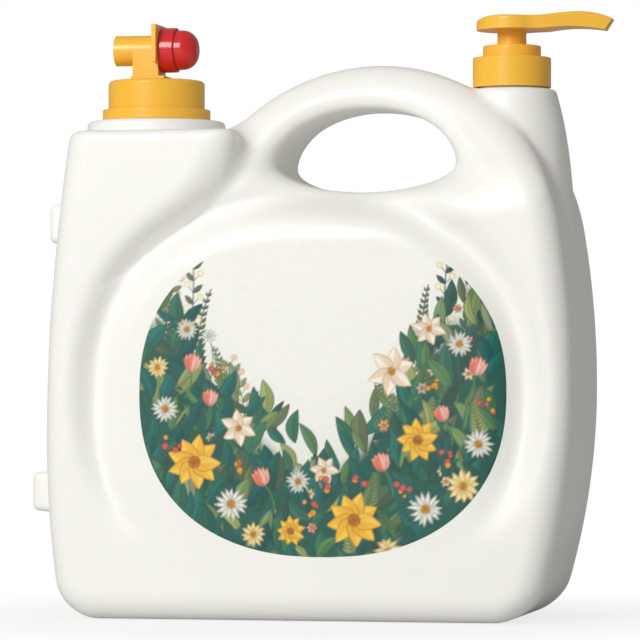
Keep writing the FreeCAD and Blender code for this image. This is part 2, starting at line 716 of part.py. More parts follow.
def superellipse(centre_x, centre_z, half_width, half_height, power, y):
    """A closed smooth curve squarer than an ellipse, facing the front."""
    points = []
    count = 48
    for step in range(count):
        angle = 2 * pi * step / count
        across = copysign(abs(cos(angle)) ** (2 / power), cos(angle))
        along = copysign(abs(sin(angle)) ** (2 / power), sin(angle))
        points.append(Vector(centre_x + half_width * across, y, centre_z + half_height * along))
    curve = Part.BSplineCurve()
    curve.interpolate(points, PeriodicFlag=True)
    return Part.Wire(curve.toShape())


def valley(inset):
    """The shallow ring round the label on both panels. It leans, and so runs out below."""
    radius = read("valley_radius")
    depth = read("valley_depth")
    centre = Vector(read("valley_centre"), 0, read("valley_centre_height"))
    line_y = -(HALF_DEPTH + radius - depth)
    ring = superellipse(centre.x, centre.z, read("valley_half_width"), read("valley_half_height"),
                        read("panel_power"), line_y)
    lean = atan2(depth, read("valley_fade")) * 180 / pi
    ring.rotate(Vector(centre.x, line_y, centre.z), Vector(1, 0, 0), -lean)
    start = ring.Edges[0]
    point = start.valueAt(start.FirstParameter)
    along = start.tangentAt(start.FirstParameter)
    section = Part.Wire(Part.makeCircle(radius + inset, point, along))
    front = ring.makePipeShell([section], True, True)
    back = front.mirror(Vector(), Vector(0, 1, 0))
    return front, back


def base_push_ups(inset):
    """The shallow recesses in the base, front and back of the flat rib."""
    half_length = read("base_recess_half_length") + inset
    inner = read("base_rib_half_width") - inset
    outer = read("base_recess_half_width") + inset
    depth = read("base_recess") + inset
    low_corner = Vector(-half_length, inner, -depth)
    plate = Part.makeBox(2 * half_length, outer - inner, 2 * depth, low_corner)
    uprights = pick(plate, lambda middle, run: abs(run.z) > NEAR)
    plate = plate.makeFillet(read("base_recess_corner") + inset, uprights)
    rim = pick(plate, lambda middle, run: middle.z > depth - NEAR)
    back = plate.makeFillet(read("base_recess") / 2 + inset, rim)
    front = back.mirror(Vector(), Vector(0, 1, 0))
    return front, back


def body_form(inset):
    """The whole blown form without its necks."""
    form = loop_block(inset)
    form = form.fuse([column_block(inset), turret_cone(inset)])
    form = form.fuse([side_foot("upper_foot", inset), side_foot("lower_foot", inset)])
    for hollow in valley(inset) + base_push_ups(inset):
        form = form.cut(hollow)
    return form


def bottle_shape():
    """Outside, necks and ring, less the cavity and the bores."""
    wall = read("wall")
    tap_x = -read("tap_axis")
    pump_x = read("pump_axis")
    column_top = read("column_height")
    boss_top = value(BOSS_TOP)
    turret_top = read("turret_height")
    ring = drum(tap_x, read("boss_radius"), column_top - 2 * wall, boss_top)
    ring = ring.makeFillet(read("boss_edge_radius"), pick(ring, lambda middle, run: middle.z > boss_top - NEAR))
    tap_neck = drum(tap_x, read("tap_neck_radius"), column_top, value(TAP_RIM))
    pump_neck = drum(pump_x, read("pump_neck_radius"), turret_top - wall, value(PUMP_RIM))
    outside = body_form(0).fuse([ring, tap_neck, pump_neck])
    cavity = body_form(wall)
    ring_room = drum(tap_x, read("boss_radius") - 2 * wall, column_top - 2 * wall, boss_top - wall)
    tap_bore = drum(tap_x, read("tap_neck_bore"), column_top, value(TAP_RIM) + wall)
    pump_bore = drum(pump_x, read("pump_neck_bore"), turret_top - 3 * wall, value(PUMP_RIM) + wall)
    return outside.cut(cavity).cut(ring_room).cut(tap_bore).cut(pump_bore).removeSplitter()


def solid_piece(label, shape):
    """A piece whose form is worked out above, kept as one solid."""
    piece = doc.addObject("Part::Feature", label)
    if shape.ShapeType != "Solid" and len(shape.Solids) == 1:
        shape = shape.Solids[0]
    piece.Shape = shape
    return keep(piece, label)


solid_piece("bottle", bottle_shape())


# Label

def label_shape():
    """The printed film on the front panel."""
    edge = superellipse(read("label_centre"), read("label_centre_height"), read("label_half_width"),
                        read("label_half_height"), read("panel_power"), -HALF_DEPTH)
    return Part.Face(edge).extrude(Vector(0, -read("label_thickness"), 0))


solid_piece("front_label", label_shape())

# Press tap on the left neck
TAP_X = "-" + size("tap_axis")
CAP_BORE = total(size("tap_neck_radius"), size("thread_gap"))
CAP_FOOT = total(BOSS_TOP, size("cap_foot_gap"))
CAP_SKIRT_TOP = total(CAP_FOOT, size("cap_skirt_height"))
CAP_HOLE = total(size("tap_boss_radius"), size("guide_gap"))

tap_cap = turned("tap_cap", [
    (CAP_BORE, CAP_FOOT),
    (CAP_BORE, TAP_FLANGE_TOP),
    (CAP_HOLE, TAP_FLANGE_TOP),
    (CAP_HOLE, CAP_TOP),
    (size("cap_radius"), CAP_TOP),
    (size("cap_radius"), CAP_SKIRT_TOP),
    (size("cap_skirt_radius"), CAP_SKIRT_TOP),
    (size("cap_skirt_radius"), CAP_FOOT),
], TAP_X)
round_rim(tap_cap, size("cap_edge_radius"), size("cap_radius"), CAP_TOP)
round_rim(tap_cap, size("cap_edge_radius") + " / 3", size("cap_skirt_radius"), CAP_SKIRT_TOP)

turned("tap_gasket", [
    (size("tap_boss_radius"), TAP_RIM),
    (size("tap_neck_radius"), TAP_RIM),
    (size("tap_neck_radius"), TAP_FLANGE_LOW),
    (size("tap_boss_radius"), TAP_FLANGE_LOW),
], TAP_X)


def tap_body_piece():
    """Flange, boss, leg, spout barrel, finger plate and spigot, moulded in one."""
    leg_x = total(SPOUT_X, size("leg_setback"))
    boss_height = total(size("cap_plate"), size("tap_boss_rise"))
    leg_width = f"2 * {size('barrel_radius')}"
    plate_low = total(BARREL_HEIGHT, "-" + size("finger_plate_low"))
    plate_height = total(size("finger_plate_low"), size("finger_plate_high"))
    solids = [
        rod("tap_flange", TAP_X, TAP_FLANGE_LOW, size("tap_flange_radius"), size("tap_flange_thickness")),
        rod("tap_boss", TAP_X, TAP_FLANGE_TOP, size("tap_boss_radius"), boss_height),
        block("tap_plinth", leg_x, size("plinth_width"), CAP_TOP, size("plinth_length"), size("plinth_rise")),
        block("tap_leg", leg_x, leg_width, CAP_TOP, size("leg_length"), size("barrel_rise")),
        rod("tap_barrel", SPOUT_X, BARREL_HEIGHT, size("barrel_radius"), size("barrel_length"), True),
        block("finger_plate", total(SPOUT_X, size("barrel_length")), size("finger_plate_width"), plate_low,
              size("finger_plate_thickness"), plate_height),
        rod("tap_spigot", SPOUT_X, BARREL_HEIGHT, size("spigot_radius"), SPIGOT_END, True),
    ]
    leg_bore_x = f"{leg_x} + {size('leg_length')} / 2"
    step_end = total(size("valve_setback"), size("valve_step"))
    bore_length = f"{SPIGOT_END} - {size('barrel_wall')} - ({step_end})"
    gland_depth = f"2 * {size('o_ring_section')}"
    gland_radius = f"{size('stem_radius')} + 2 * {size('o_ring_section')} + 2 * {size('fit_gap')}"
    hollows = [
        rod("spout_mouth", SPOUT_X, BARREL_HEIGHT, size("barrel_bore"), size("valve_setback"), True),
        rod("valve_port", SPOUT_X, BARREL_HEIGHT, size("valve_hole"), step_end, True),
        rod("barrel_room", f"{SPOUT_X} + {step_end}", BARREL_HEIGHT, size("barrel_bore"), bore_length, True),
        rod("leg_passage", leg_bore_x, TAP_FLANGE_LOW, size("leg_bore"),
            f"{BARREL_HEIGHT} - ({TAP_FLANGE_LOW})"),
        rod("stem_guide", SPOUT_X, BARREL_HEIGHT, f"{size('stem_radius')} + {size('guide_gap')}", SPIGOT_END, True),
        rod("o_ring_gland", f"{SPOUT_X} + {SPIGOT_END} - {gland_depth}", BARREL_HEIGHT, gland_radius,
            gland_depth, True),
    ]
    moulding = doc.addObject("Part::MultiFuse", "tap_moulding")
    moulding.Shapes = solids
    moulding.Refine = True
    passages = doc.addObject("Part::MultiFuse", "tap_passages")
    passages.Shapes = hollows
    tap = doc.addObject("Part::Cut", "tap_body")
    tap.Base = moulding
    tap.Tool = passages
    doc.recompute()
    return keep(tap, "tap_body")


tap_body_piece()

STEM_HEAD_LOW = total(SEAL_LOW, "-" + size("stem_head_height"))
turned("valve_stem", [
    ("0", STEM_HEAD_LOW),
    (size("stem_head_radius"), STEM_HEAD_LOW),
    (size("stem_head_radius"), SEAL_LOW),
    (size("stem_radius"), SEAL_LOW),
    (size("stem_radius"), ROD_END),
    ("0", ROD_END),
], SPOUT_X, lying=True)

SEAL_HOLE = total(size("stem_radius"), size("fit_gap"))
turned("valve_seal", [
    (SEAL_HOLE, SEAL_LOW),
    (size("valve_seal_radius"), SEAL_LOW),
    (size("valve_seal_radius"), size("valve_setback")),
    (SEAL_HOLE, size("valve_setback")),
], SPOUT_X, lying=True)

o_ring = doc.addObject("Part::Torus", "stem_o_ring")
o_ring.Placement = FreeCAD.Placement(Vector(), Rotation(Vector(0, 1, 0), 90))
o_ring.setExpression("Radius1", f"{size('stem_radius')} + {size('o_ring_section')} + {size('fit_gap')}")
o_ring.setExpression("Radius2", size("o_ring_section"))
set_base(o_ring, f"{SPOUT_X} + {SPIGOT_END} - {size('o_ring_section')}", "0", BARREL_HEIGHT)
keep(o_ring, "stem_o_ring")

COLLAR_BORE = total(size("collar_radius"), "-" + size("collar_wall"))
COLLAR_HOLE = total(size("spigot_radius"), size("fit_gap"))
COLLAR_FLOOR_TOP = total(PLATE_RIGHT, size("collar_floor"))
COLLAR_END = total(PLATE_RIGHT, size("collar_length"))
button_collar = turned("button_collar", [
    (COLLAR_HOLE, PLATE_RIGHT),
    (size("collar_radius"), PLATE_RIGHT),
    (size("collar_radius"), COLLAR_END),
    (COLLAR_BORE, COLLAR_END),
    (COLLAR_BORE, COLLAR_FLOOR_TOP),
    (COLLAR_HOLE, COLLAR_FLOOR_TOP),
], SPOUT_X, lying=True)
round_rim(button_collar, size("collar_wall") + " / 2", size("collar_radius"), COLLAR_END)

BUTTON_RADIUS = total(COLLAR_BORE, "-" + size("guide_gap"))
BUTTON_BORE = total(BUTTON_RADIUS, "-" + size("button_wall"))
BUTTON_SLOPE_LOW = total(BUTTON_END, "-" + size("button_round"))
BUTTON_SLOPE_RADIUS = total(BUTTON_BORE, "-" + size("button_inner_slope"))
POST_LOW = total(BUTTON_INSIDE, "-" + size("button_post_length"))
push_button = turned("push_button", [
    ("0", BUTTON_END),
    (BUTTON_RADIUS, BUTTON_END),
    (BUTTON_RADIUS, BUTTON_SKIRT),
    (BUTTON_BORE, BUTTON_SKIRT),
    (BUTTON_BORE, BUTTON_SLOPE_LOW),
    (BUTTON_SLOPE_RADIUS, BUTTON_INSIDE),
    (size("button_post_radius"), BUTTON_INSIDE),
    (size("button_post_radius"), POST_LOW),
    (SEAL_HOLE, POST_LOW),
    (SEAL_HOLE, ROD_END),
    ("0", ROD_END),
], SPOUT_X, lying=True)
round_rim(push_button, size("button_round"), BUTTON_RADIUS, BUTTON_END)

coil("button_spring", f"{SPOUT_X} + {SPIGOT_END}", BARREL_HEIGHT, size("button_spring_radius"),
     size("button_spring_wire"), size("button_spring_turns"), f"({BUTTON_INSIDE} - ({SPIGOT_END}))", lying=True)

# Lotion pump on the right neck
PUMP_X = size("pump_axis")
HOUSING_RADIUS = total(size("housing_bore"), size("housing_wall"))
SOCKET_BORE = total(size("tube_radius"), size("fit_gap"))
SOCKET_RADIUS = total(SOCKET_BORE, size("socket_wall"))
CHAMBER_CONE_TOP = total(HOUSING_LEDGE, "-" + size("ball_floor"))

turned("pump_gasket", [
    (total(HOUSING_RADIUS, size("guide_gap")), PUMP_RIM),
    (size("pump_neck_radius"), PUMP_RIM),
    (size("pump_neck_radius"), HOUSING_FLANGE_LOW),
    (total(HOUSING_RADIUS, size("guide_gap")), HOUSING_FLANGE_LOW),
], PUMP_X)

turned("pump_housing", [
    (size("ball_hole"), BALL_FLOOR),
    (size("ball_chamber_radius"), BALL_FLOOR),
    (size("ball_chamber_radius"), HOUSING_LEDGE),
    (size("housing_bore"), HOUSING_LEDGE),
    (size("housing_bore"), COLLAR_TOP),
    (size("housing_collar_radius"), COLLAR_TOP),
    (size("housing_collar_radius"), HOUSING_FLANGE_TOP),
    (size("housing_flange_radius"), HOUSING_FLANGE_TOP),
    (size("housing_flange_radius"), HOUSING_FLANGE_LOW),
    (HOUSING_RADIUS, HOUSING_FLANGE_LOW),
    (HOUSING_RADIUS, CHAMBER_CONE_TOP),
    (SOCKET_RADIUS, BALL_FLOOR),
    (SOCKET_RADIUS, SOCKET_LOW),
    (SOCKET_BORE, SOCKET_LOW),
    (SOCKET_BORE, SOCKET_TOP),
    (size("ball_hole"), SOCKET_TOP),
], PUMP_X)

PUMP_COLLAR_BORE = total(size("pump_neck_radius"), size("thread_gap"))
PUMP_COLLAR_LOW = total(size("turret_height"), size("pump_collar_gap"))
PUMP_COLLAR_HOLE = total(size("housing_collar_radius"), size("guide_gap"))
pump_collar = turned("pump_collar", [
    (PUMP_COLLAR_BORE, PUMP_COLLAR_LOW),
    (PUMP_COLLAR_BORE, HOUSING_FLANGE_TOP),
    (PUMP_COLLAR_HOLE, HOUSING_FLANGE_TOP),
    (PUMP_COLLAR_HOLE, COLLAR_TOP),
    (size("pump_collar_radius"), COLLAR_TOP),
    (size("pump_collar_radius"), PUMP_COLLAR_LOW),
], PUMP_X)
round_rim(pump_collar, size("pump_collar_edge"), size("pump_collar_radius"), COLLAR_TOP)

ROD_GUIDE = total(size("rod_radius"), size("guide_gap"))
SPIGOT_RADIUS = total(size("housing_bore"), "-" + size("fit_gap"))
SPIGOT_LOW = total(COLLAR_TOP, "-" + size("lock_ring_spigot"))
RING_UNDERSIDE = total(COLLAR_TOP, size("guide_gap"))
RING_BORE = total(size("head_neck_radius"), size("thread_gap"))
lock_ring = turned("lock_ring", [
    (ROD_GUIDE, SPIGOT_LOW),
    (SPIGOT_RADIUS, SPIGOT_LOW),
    (SPIGOT_RADIUS, COLLAR_TOP),
    (size("housing_collar_radius"), COLLAR_TOP),
    (size("housing_collar_radius"), RING_UNDERSIDE),
    (size("lock_ring_radius"), RING_UNDERSIDE),
    (size("lock_ring_radius"), LOCK_RING_TOP),
    (RING_BORE, LOCK_RING_TOP),
    (RING_BORE, LOCK_RING_FLOOR),
    (ROD_GUIDE, LOCK_RING_FLOOR),
], PUMP_X)
round_rim(lock_ring, size("lock_ring_edge"), size("lock_ring_radius"), LOCK_RING_TOP)

turned("pump_stem", [
    (size("rod_bore"), ROD_FOOT),
    (size("rod_radius"), ROD_FOOT),
    (size("rod_radius"), ROD_COLLAR_LOW),
    (size("rod_collar_radius"), ROD_COLLAR_LOW),
    (size("rod_collar_radius"), ROD_COLLAR_TOP),
    (size("rod_radius"), ROD_COLLAR_TOP),
    (size("rod_radius"), ROD_TOP),
    (size("rod_bore"), ROD_TOP),
], PUMP_X)

PLUG_SPIGOT = total(size("rod_bore"), "-" + size("fit_gap"))
turned("stem_plug", [
    ("0", PLUG_LOW),
    (size("plug_radius"), PLUG_LOW),
    (size("plug_radius"), ROD_FOOT),
    (PLUG_SPIGOT, ROD_FOOT),
    (PLUG_SPIGOT, total(ROD_FOOT, size("plug_depth"))),
    ("0", total(ROD_FOOT, size("plug_depth"))),
], PUMP_X)

PISTON_BORE = total(size("rod_radius"), size("fit_gap"))
PISTON_RADIUS = total(size("housing_bore"), "-" + size("piston_gap"))
PISTON_WAIST = f"({PISTON_BORE} + {PISTON_RADIUS}) / 2"
PISTON_WEB_LOW = f"{ROD_FOOT} + {size('piston_height')} / 3"
turned("pump_piston", [
    (PISTON_BORE, ROD_FOOT),
    (PISTON_WAIST, ROD_FOOT),
    (PISTON_WAIST, PISTON_WEB_LOW),
    (PISTON_RADIUS, ROD_FOOT),
    (PISTON_RADIUS, PISTON_TOP),
    (PISTON_BORE, PISTON_TOP),
], PUMP_X)

coil("pump_spring", PUMP_X, RETAINER_TOP, size("pump_spring_radius"), size("pump_spring_wire"),
     size("pump_spring_turns"), size("pump_spring_height"))

RETAINER_SKIRT_LOW = total(HOUSING_LEDGE, "-" + size("retainer_skirt"))
RETAINER_SKIRT_RADIUS = total(size("ball_chamber_radius"), "-" + size("fit_gap"))
RETAINER_RADIUS = total(size("housing_bore"), "-" + size("guide_gap"))
turned("ball_retainer", [
    (size("retainer_hole"), RETAINER_SKIRT_LOW),
    (RETAINER_SKIRT_RADIUS, RETAINER_SKIRT_LOW),
    (RETAINER_SKIRT_RADIUS, HOUSING_LEDGE),
    (RETAINER_RADIUS, HOUSING_LEDGE),
    (RETAINER_RADIUS, RETAINER_TOP),
    (size("retainer_hole"), RETAINER_TOP),
], PUMP_X)

ball = doc.addObject("Part::Sphere", "inlet_ball")
ball.setExpression("Radius", size("ball_radius"))
# The ball rests on the rim of the hole that it closes
BALL_REST = f"sqrt({size('ball_radius')}^2 - {size('ball_hole')}^2)"
set_base(ball, PUMP_X, "0", f"{BALL_FLOOR} + {BALL_REST} + {size('fit_gap')} / 5")
keep(ball, "inlet_ball")

turned("dip_tube", [
    (size("tube_bore"), size("tube_end_height")),
    (size("tube_radius"), size("tube_end_height")),
    (size("tube_radius"), SOCKET_TOP),
    (size("tube_bore"), SOCKET_TOP),
], PUMP_X)


def head_shape():
    """Round pad running out into a drooping nozzle, on a hollow neck."""
    low = value(HEAD_LOW)
    pad = read("head_radius")
    height = read("head_height")
    crown = read("head_crown")
    reach = read("nozzle_reach")
    hump_x = read("nozzle_hump_reach")
    tip_low_x = reach - read("nozzle_cut")
    # Side view: crowned pad, a dip, the hump, then the drooping tip
    top = Part.BSplineCurve()
    top.interpolate([
        Vector(-pad, 0, height - crown - read("head_edge")),
        Vector(-pad / 2, 0, height - crown / 2),
        Vector(0, 0, height),
        Vector(hump_x / 2, 0, height),
        Vector(hump_x, 0, read("nozzle_hump")),
        Vector(reach, 0, read("nozzle_tip_height")),
    ])
    tip_low = upright(tip_low_x, -read("nozzle_tip_drop"))
    under_arch = upright(read("nozzle_arch_reach"), read("nozzle_arch"))
    side = closed([
        top.toShape(),
        Part.makeLine(upright(reach, read("nozzle_tip_height")), tip_low),
        Part.Arc(tip_low, under_arch, upright(pad, 0)).toShape(),
        Part.makeLine(upright(pad, 0), upright(-pad, 0)),
        Part.makeLine(upright(-pad, 0), upright(-pad, height - crown - read("head_edge"))),
    ])
    side_slab = slab(side, 2 * pad, 0)
    # Plan view: round pad and tapering nozzle, joined where the taper meets the circle
    root = read("nozzle_root_half_width")
    root_x = sqrt(pad**2 - root**2)
    tip = read("nozzle_tip_half_width")
    plan = closed([
        Part.Arc(Vector(root_x, root, 0), Vector(-pad, 0, 0), Vector(root_x, -root, 0)).toShape(),
        Part.makeLine(Vector(root_x, -root, 0), Vector(reach, -tip, 0)),
        Part.makeLine(Vector(reach, -tip, 0), Vector(reach, tip, 0)),
        Part.makeLine(Vector(reach, tip, 0), Vector(root_x, root, 0)),
    ])
    plan_slab = Part.Face(plan).extrude(Vector(0, 0, 4 * height))
    plan_slab.translate(Vector(0, 0, -2 * height))
    head = side_slab.common(plan_slab).Solids[0]
    corners = pick(head, lambda middle, run: abs(middle.x - root_x) < NEAR and abs(middle.y) > NEAR)
    head = head.makeFillet(pad, corners)
    rim = pick(head, lambda middle, run: middle.z > height / 2 and middle.x < tip_low_x and abs(middle.y) > NEAR)
    head = head.makeFillet(read("head_edge"), rim)
    skirt_low = value(LOCK_RING_FLOOR) + read("guide_gap") - low
    neck = Part.makeCylinder(read("head_neck_radius"), -skirt_low + crown, Vector(0, 0, skirt_low))
    head = head.fuse(neck)
    socket_height = read("rod_socket_depth") - skirt_low
    socket = Part.makeCylinder(read("rod_radius") + read("fit_gap"), socket_height, Vector(0, 0, skirt_low))
    passage_z = read("nozzle_bore_height")
    bore = read("nozzle_bore")
    riser = Part.makeCylinder(bore, passage_z, Vector())
    fall = Vector(reach, 0, read("nozzle_bore_end") - passage_z)
    passage = Part.makeCylinder(bore, 2 * reach, Vector(0, 0, passage_z), fall)
    head = head.cut(socket).cut(riser.fuse(passage)).removeSplitter()
    head.translate(Vector(value(PUMP_X), 0, low))
    return head


solid_piece("pump_head", head_shape())

# Every object has to be sound before any file is written
doc.recompute()
for item in doc.Objects:
    if "Invalid" in item.State or "Error" in item.State:
        raise RuntimeError(f"{item.Label} failed: {item.State}")
for piece in PIECES:
    shape = piece.Shape
    if shape.isNull() or not shape.isValid():
        raise RuntimeError(f"{piece.Label} has no sound shape")
    if len(shape.Solids) != 1:
        raise RuntimeError(f"{piece.Label} has {len(shape.Solids)} solids")

os.makedirs("parts", exist_ok=True)
for piece in PIECES:
    piece.Shape.exportStep(os.path.join("parts", piece.Label + ".step"))
    print(f"{piece.Label}: {piece.Shape.Volume:.1f} mm3")
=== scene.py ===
import json
from math import atan2, cos, hypot, pi, radians, sin

import bpy
import numpy as np
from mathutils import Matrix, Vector


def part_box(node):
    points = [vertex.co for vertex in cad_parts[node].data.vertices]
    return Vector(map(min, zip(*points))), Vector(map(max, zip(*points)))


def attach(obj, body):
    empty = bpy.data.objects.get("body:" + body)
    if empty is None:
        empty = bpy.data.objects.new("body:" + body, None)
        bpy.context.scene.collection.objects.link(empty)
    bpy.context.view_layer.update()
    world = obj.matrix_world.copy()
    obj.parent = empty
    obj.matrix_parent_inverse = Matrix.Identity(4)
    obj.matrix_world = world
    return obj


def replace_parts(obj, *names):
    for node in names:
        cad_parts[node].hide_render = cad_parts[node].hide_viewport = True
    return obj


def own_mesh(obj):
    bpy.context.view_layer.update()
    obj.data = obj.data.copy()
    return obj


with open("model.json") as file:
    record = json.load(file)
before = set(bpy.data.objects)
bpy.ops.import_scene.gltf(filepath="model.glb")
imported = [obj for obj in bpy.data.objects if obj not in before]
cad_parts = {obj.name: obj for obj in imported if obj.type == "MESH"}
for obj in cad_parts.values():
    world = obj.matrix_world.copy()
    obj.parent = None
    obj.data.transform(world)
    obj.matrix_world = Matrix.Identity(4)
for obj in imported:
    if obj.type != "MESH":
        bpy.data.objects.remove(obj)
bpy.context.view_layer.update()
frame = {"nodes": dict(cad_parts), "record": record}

# Sizes are in metres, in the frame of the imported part: +Z up, +X right, front at -Y.
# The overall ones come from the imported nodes.
BOTTLE_LOW, BOTTLE_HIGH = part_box("bottle")
LABEL_LOW, LABEL_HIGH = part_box("front_label")
HALF_DEPTH = BOTTLE_HIGH.y
TAP_X = -0.0926
PUMP_X = 0.1033

SEED = 7
TINY = 1e-9

rng = np.random.default_rng(SEED)


# Signed fields: negative inside, about the distance to the surface near it

def round_max(a, b, radius):
    """Where both fields are inside, with the edge between them rounded."""
    over = np.hypot(np.maximum(a + radius, 0), np.maximum(b + radius, 0))
    return np.minimum(np.maximum(a, b), -radius) + over


def round_min(a, b, radius):
    """Where either field is inside, with a fillet of this radius between them."""
    return -round_max(-a, -b, radius)


def fade(low, high, x):
    """A smooth step from 0 to 1."""
    t = np.clip((x - low) / (high - low), 0, 1)
    return t * t * (3 - 2 * t)


def disc(across, up, centre_x, centre_z, radius):
    """A circle. The edge of a large one is a line with a slight bow."""
    return np.hypot(across - centre_x, up - centre_z) - radius


# Meshes of the zero level of a field

SPARE_LINES = 3
SLOPE_PARTS = 20
FLATTEST = 0.2
PRESSES = 2
SMOOTHINGS = 3
EVENING = 0.5


def grid_lines(low, high, cell):
    """Sample places along the three axes, even about the middle of the box."""
    lines = []
    for start, end in zip(low, high):
        count = int(np.ceil((end - start) / cell)) + SPARE_LINES
        middle = (start + end) / 2
        lines.append(middle + cell * (np.arange(count) - (count - 1) / 2))
    return lines


def surface_net(field, low, high, cell):
    """Quads through the cells that the surface crosses."""
    lines = grid_lines(low, high, cell)
    shape = tuple(len(line) for line in lines)
    level = np.empty(shape)
    depth = np.broadcast_to(lines[1][:, None], shape[1:])
    up = np.broadcast_to(lines[2][None, :], shape[1:])
    for index, x in enumerate(lines[0]):
        level[index] = field(np.full(shape[1:], x), depth, up)
    origin = np.array([line[0] for line in lines])
    strides = np.array([shape[1] * shape[2], shape[2], 1])
    crossings, owners, quads = [], [], []
    for axis in range(3):
        first = np.moveaxis(level, axis, 0)[:-1]
        second = np.moveaxis(level, axis, 0)[1:]
        found = np.argwhere((first < 0) != (second < 0))
        start = first[tuple(found.T)]
        end = second[tuple(found.T)]
        corner = np.empty_like(found)
        others = [other for other in range(3) if other != axis]
        corner[:, axis] = found[:, 0]
        corner[:, others[0]] = found[:, 1]
        corner[:, others[1]] = found[:, 2]
        point = corner.astype(float)
        point[:, axis] += start / (start - end)
        turn = [(axis + 1) % 3, (axis + 2) % 3]
        ring = []
        for back in ((0, 0), (1, 0), (1, 1), (0, 1)):
            cells = corner.copy()
            cells[:, turn[0]] -= back[0]
            cells[:, turn[1]] -= back[1]
            owner = cells @ strides
            ring.append(owner)
            crossings.append(point)
            owners.append(owner)
        ring = np.array(ring).T
        ring[start > 0] = ring[start > 0][:, ::-1]
        quads.append(ring)
    crossings = np.concatenate(crossings)
    cells, inverse = np.unique(np.concatenate(owners), return_inverse=True)
    count = np.bincount(inverse)
    points = np.stack([np.bincount(inverse, crossings[:, k]) / count for k in range(3)], axis=1)
    faces = np.searchsorted(cells, np.concatenate(quads))
    return origin + cell * points, faces


def press_on(field, points, cell):
    """Move points along the field's slope onto its zero level."""
    step = cell / SLOPE_PARTS
    for _ in range(PRESSES):
        level = field(*points.T)
        slope = np.empty_like(points)
        for axis in range(3):
            moved = points.copy()
            moved[:, axis] += step
            slope[:, axis] = (field(*moved.T) - level) / step
        size = np.maximum((slope**2).sum(axis=1), FLATTEST)
        shift = slope * (level / size)[:, None]
        length = np.linalg.norm(shift, axis=1)
        shift *= np.minimum(1, cell / np.maximum(length, TINY))[:, None]
        points = points - shift
    return points


def even_out(points, faces):
    """Move each point part of the way to the middle of its neighbours."""
    total = np.zeros_like(points)
    count = np.zeros(len(points))
    for side in range(4):
        here = faces[:, side]
        there = faces[:, (side + 1) % 4]
        for a, b in ((here, there), (there, here)):
            for axis in range(3):
                total[:, axis] += np.bincount(a, points[b, axis], len(points))
            count += np.bincount(a, minlength=len(points))
    return points + EVENING * (total / count[:, None] - points)


def mesh_object(name, points, faces, material, smooth=True):
    """A mesh object at the origin from points and faces."""
    mesh = bpy.data.meshes.new(name)
    mesh.from_pydata(np.asarray(points).tolist(), [], np.asarray(faces).tolist())
    mesh.validate()
    mesh.polygons.foreach_set("use_smooth", [smooth] * len(mesh.polygons))
    mesh.update()
    obj = bpy.data.objects.new(name, mesh)
    bpy.context.scene.collection.objects.link(obj)
    mesh.materials.append(material)
    return obj


def sculpt(name, field, low, high, cell, material):
    """A closed skin meshed from its field."""
    points, faces = surface_net(field, low, high, cell)
    points = press_on(field, points, cell)
    for _ in range(SMOOTHINGS):
        points = even_out(points, faces)
        points = press_on(field, points, cell)
    return mesh_object(name, points, faces, material)


# Materials

NOISE_LOW = 0.3
NOISE_HIGH = 0.7
GLOSS_SPREAD = 0.05
GRAIN_STRENGTH = 0.25


def principled(name, color, roughness, **sockets):
    """A material with its shader, and the shader's node."""
    material = bpy.data.materials.new(name)
    material.use_nodes = True
    shader = material.node_tree.nodes["Principled BSDF"]
    shader.inputs["Base Color"].default_value = (*color, 1)
    shader.inputs["Roughness"].default_value = roughness
    for socket, amount in sockets.items():
        shader.inputs[socket.replace("_", " ")].default_value = amount
    return material, shader


def add_node(material, kind, **values):
    """A node with some of its properties or inputs set."""
    node = material.node_tree.nodes.new(kind)
    for key, amount in values.items():
        if hasattr(node, key):
            setattr(node, key, amount)
        else:
            node.inputs[key.replace("_", " ").title()].default_value = amount
    return node


def link(material, source, target):
    """Join two sockets."""
    material.node_tree.links.new(source, target)


def object_noise(material, scale, detail):
    """Noise fixed to the piece."""
    place = add_node(material, "ShaderNodeTexCoord")
    noise = add_node(material, "ShaderNodeTexNoise")
    noise.inputs["Scale"].default_value = scale
    noise.inputs["Detail"].default_value = detail
    link(material, place.outputs["Object"], noise.inputs["Vector"])
    return noise.outputs["Fac"]


def spread(material, fac, low, high):
    """Map noise to a range of values."""
    node = add_node(material, "ShaderNodeMapRange")
    node.inputs["From Min"].default_value = NOISE_LOW
    node.inputs["From Max"].default_value = NOISE_HIGH
    node.inputs["To Min"].default_value = low
    node.inputs["To Max"].default_value = high
    link(material, fac, node.inputs["Value"])
    return node.outputs["Result"]


def moulded(name, color, shade, roughness, grain, depth, **sockets):
    """Moulded plastic: slight mottling, uneven gloss and a fine surface."""
    material, shader = principled(name, color, roughness, **sockets)
    mottle = object_noise(material, scale=14, detail=3)
    blend = add_node(material, "ShaderNodeMix", data_type="RGBA")
    blend.inputs["A"].default_value = (*color, 1)
    blend.inputs["B"].default_value = (*shade, 1)
    link(material, spread(material, mottle, 0, 1), blend.inputs["Factor"])
    link(material, blend.outputs["Result"], shader.inputs["Base Color"])
    uneven = object_noise(material, scale=60, detail=4)
    gloss = spread(material, uneven, roughness - GLOSS_SPREAD, roughness + GLOSS_SPREAD)
    link(material, gloss, shader.inputs["Roughness"])
    bump = add_node(material, "ShaderNodeBump")
    bump.inputs["Strength"].default_value = GRAIN_STRENGTH
    bump.inputs["Distance"].default_value = depth
    link(material, object_noise(material, scale=grain, detail=2), bump.inputs["Height"])
    link(material, bump.outputs["Normal"], shader.inputs["Normal"])
    return material


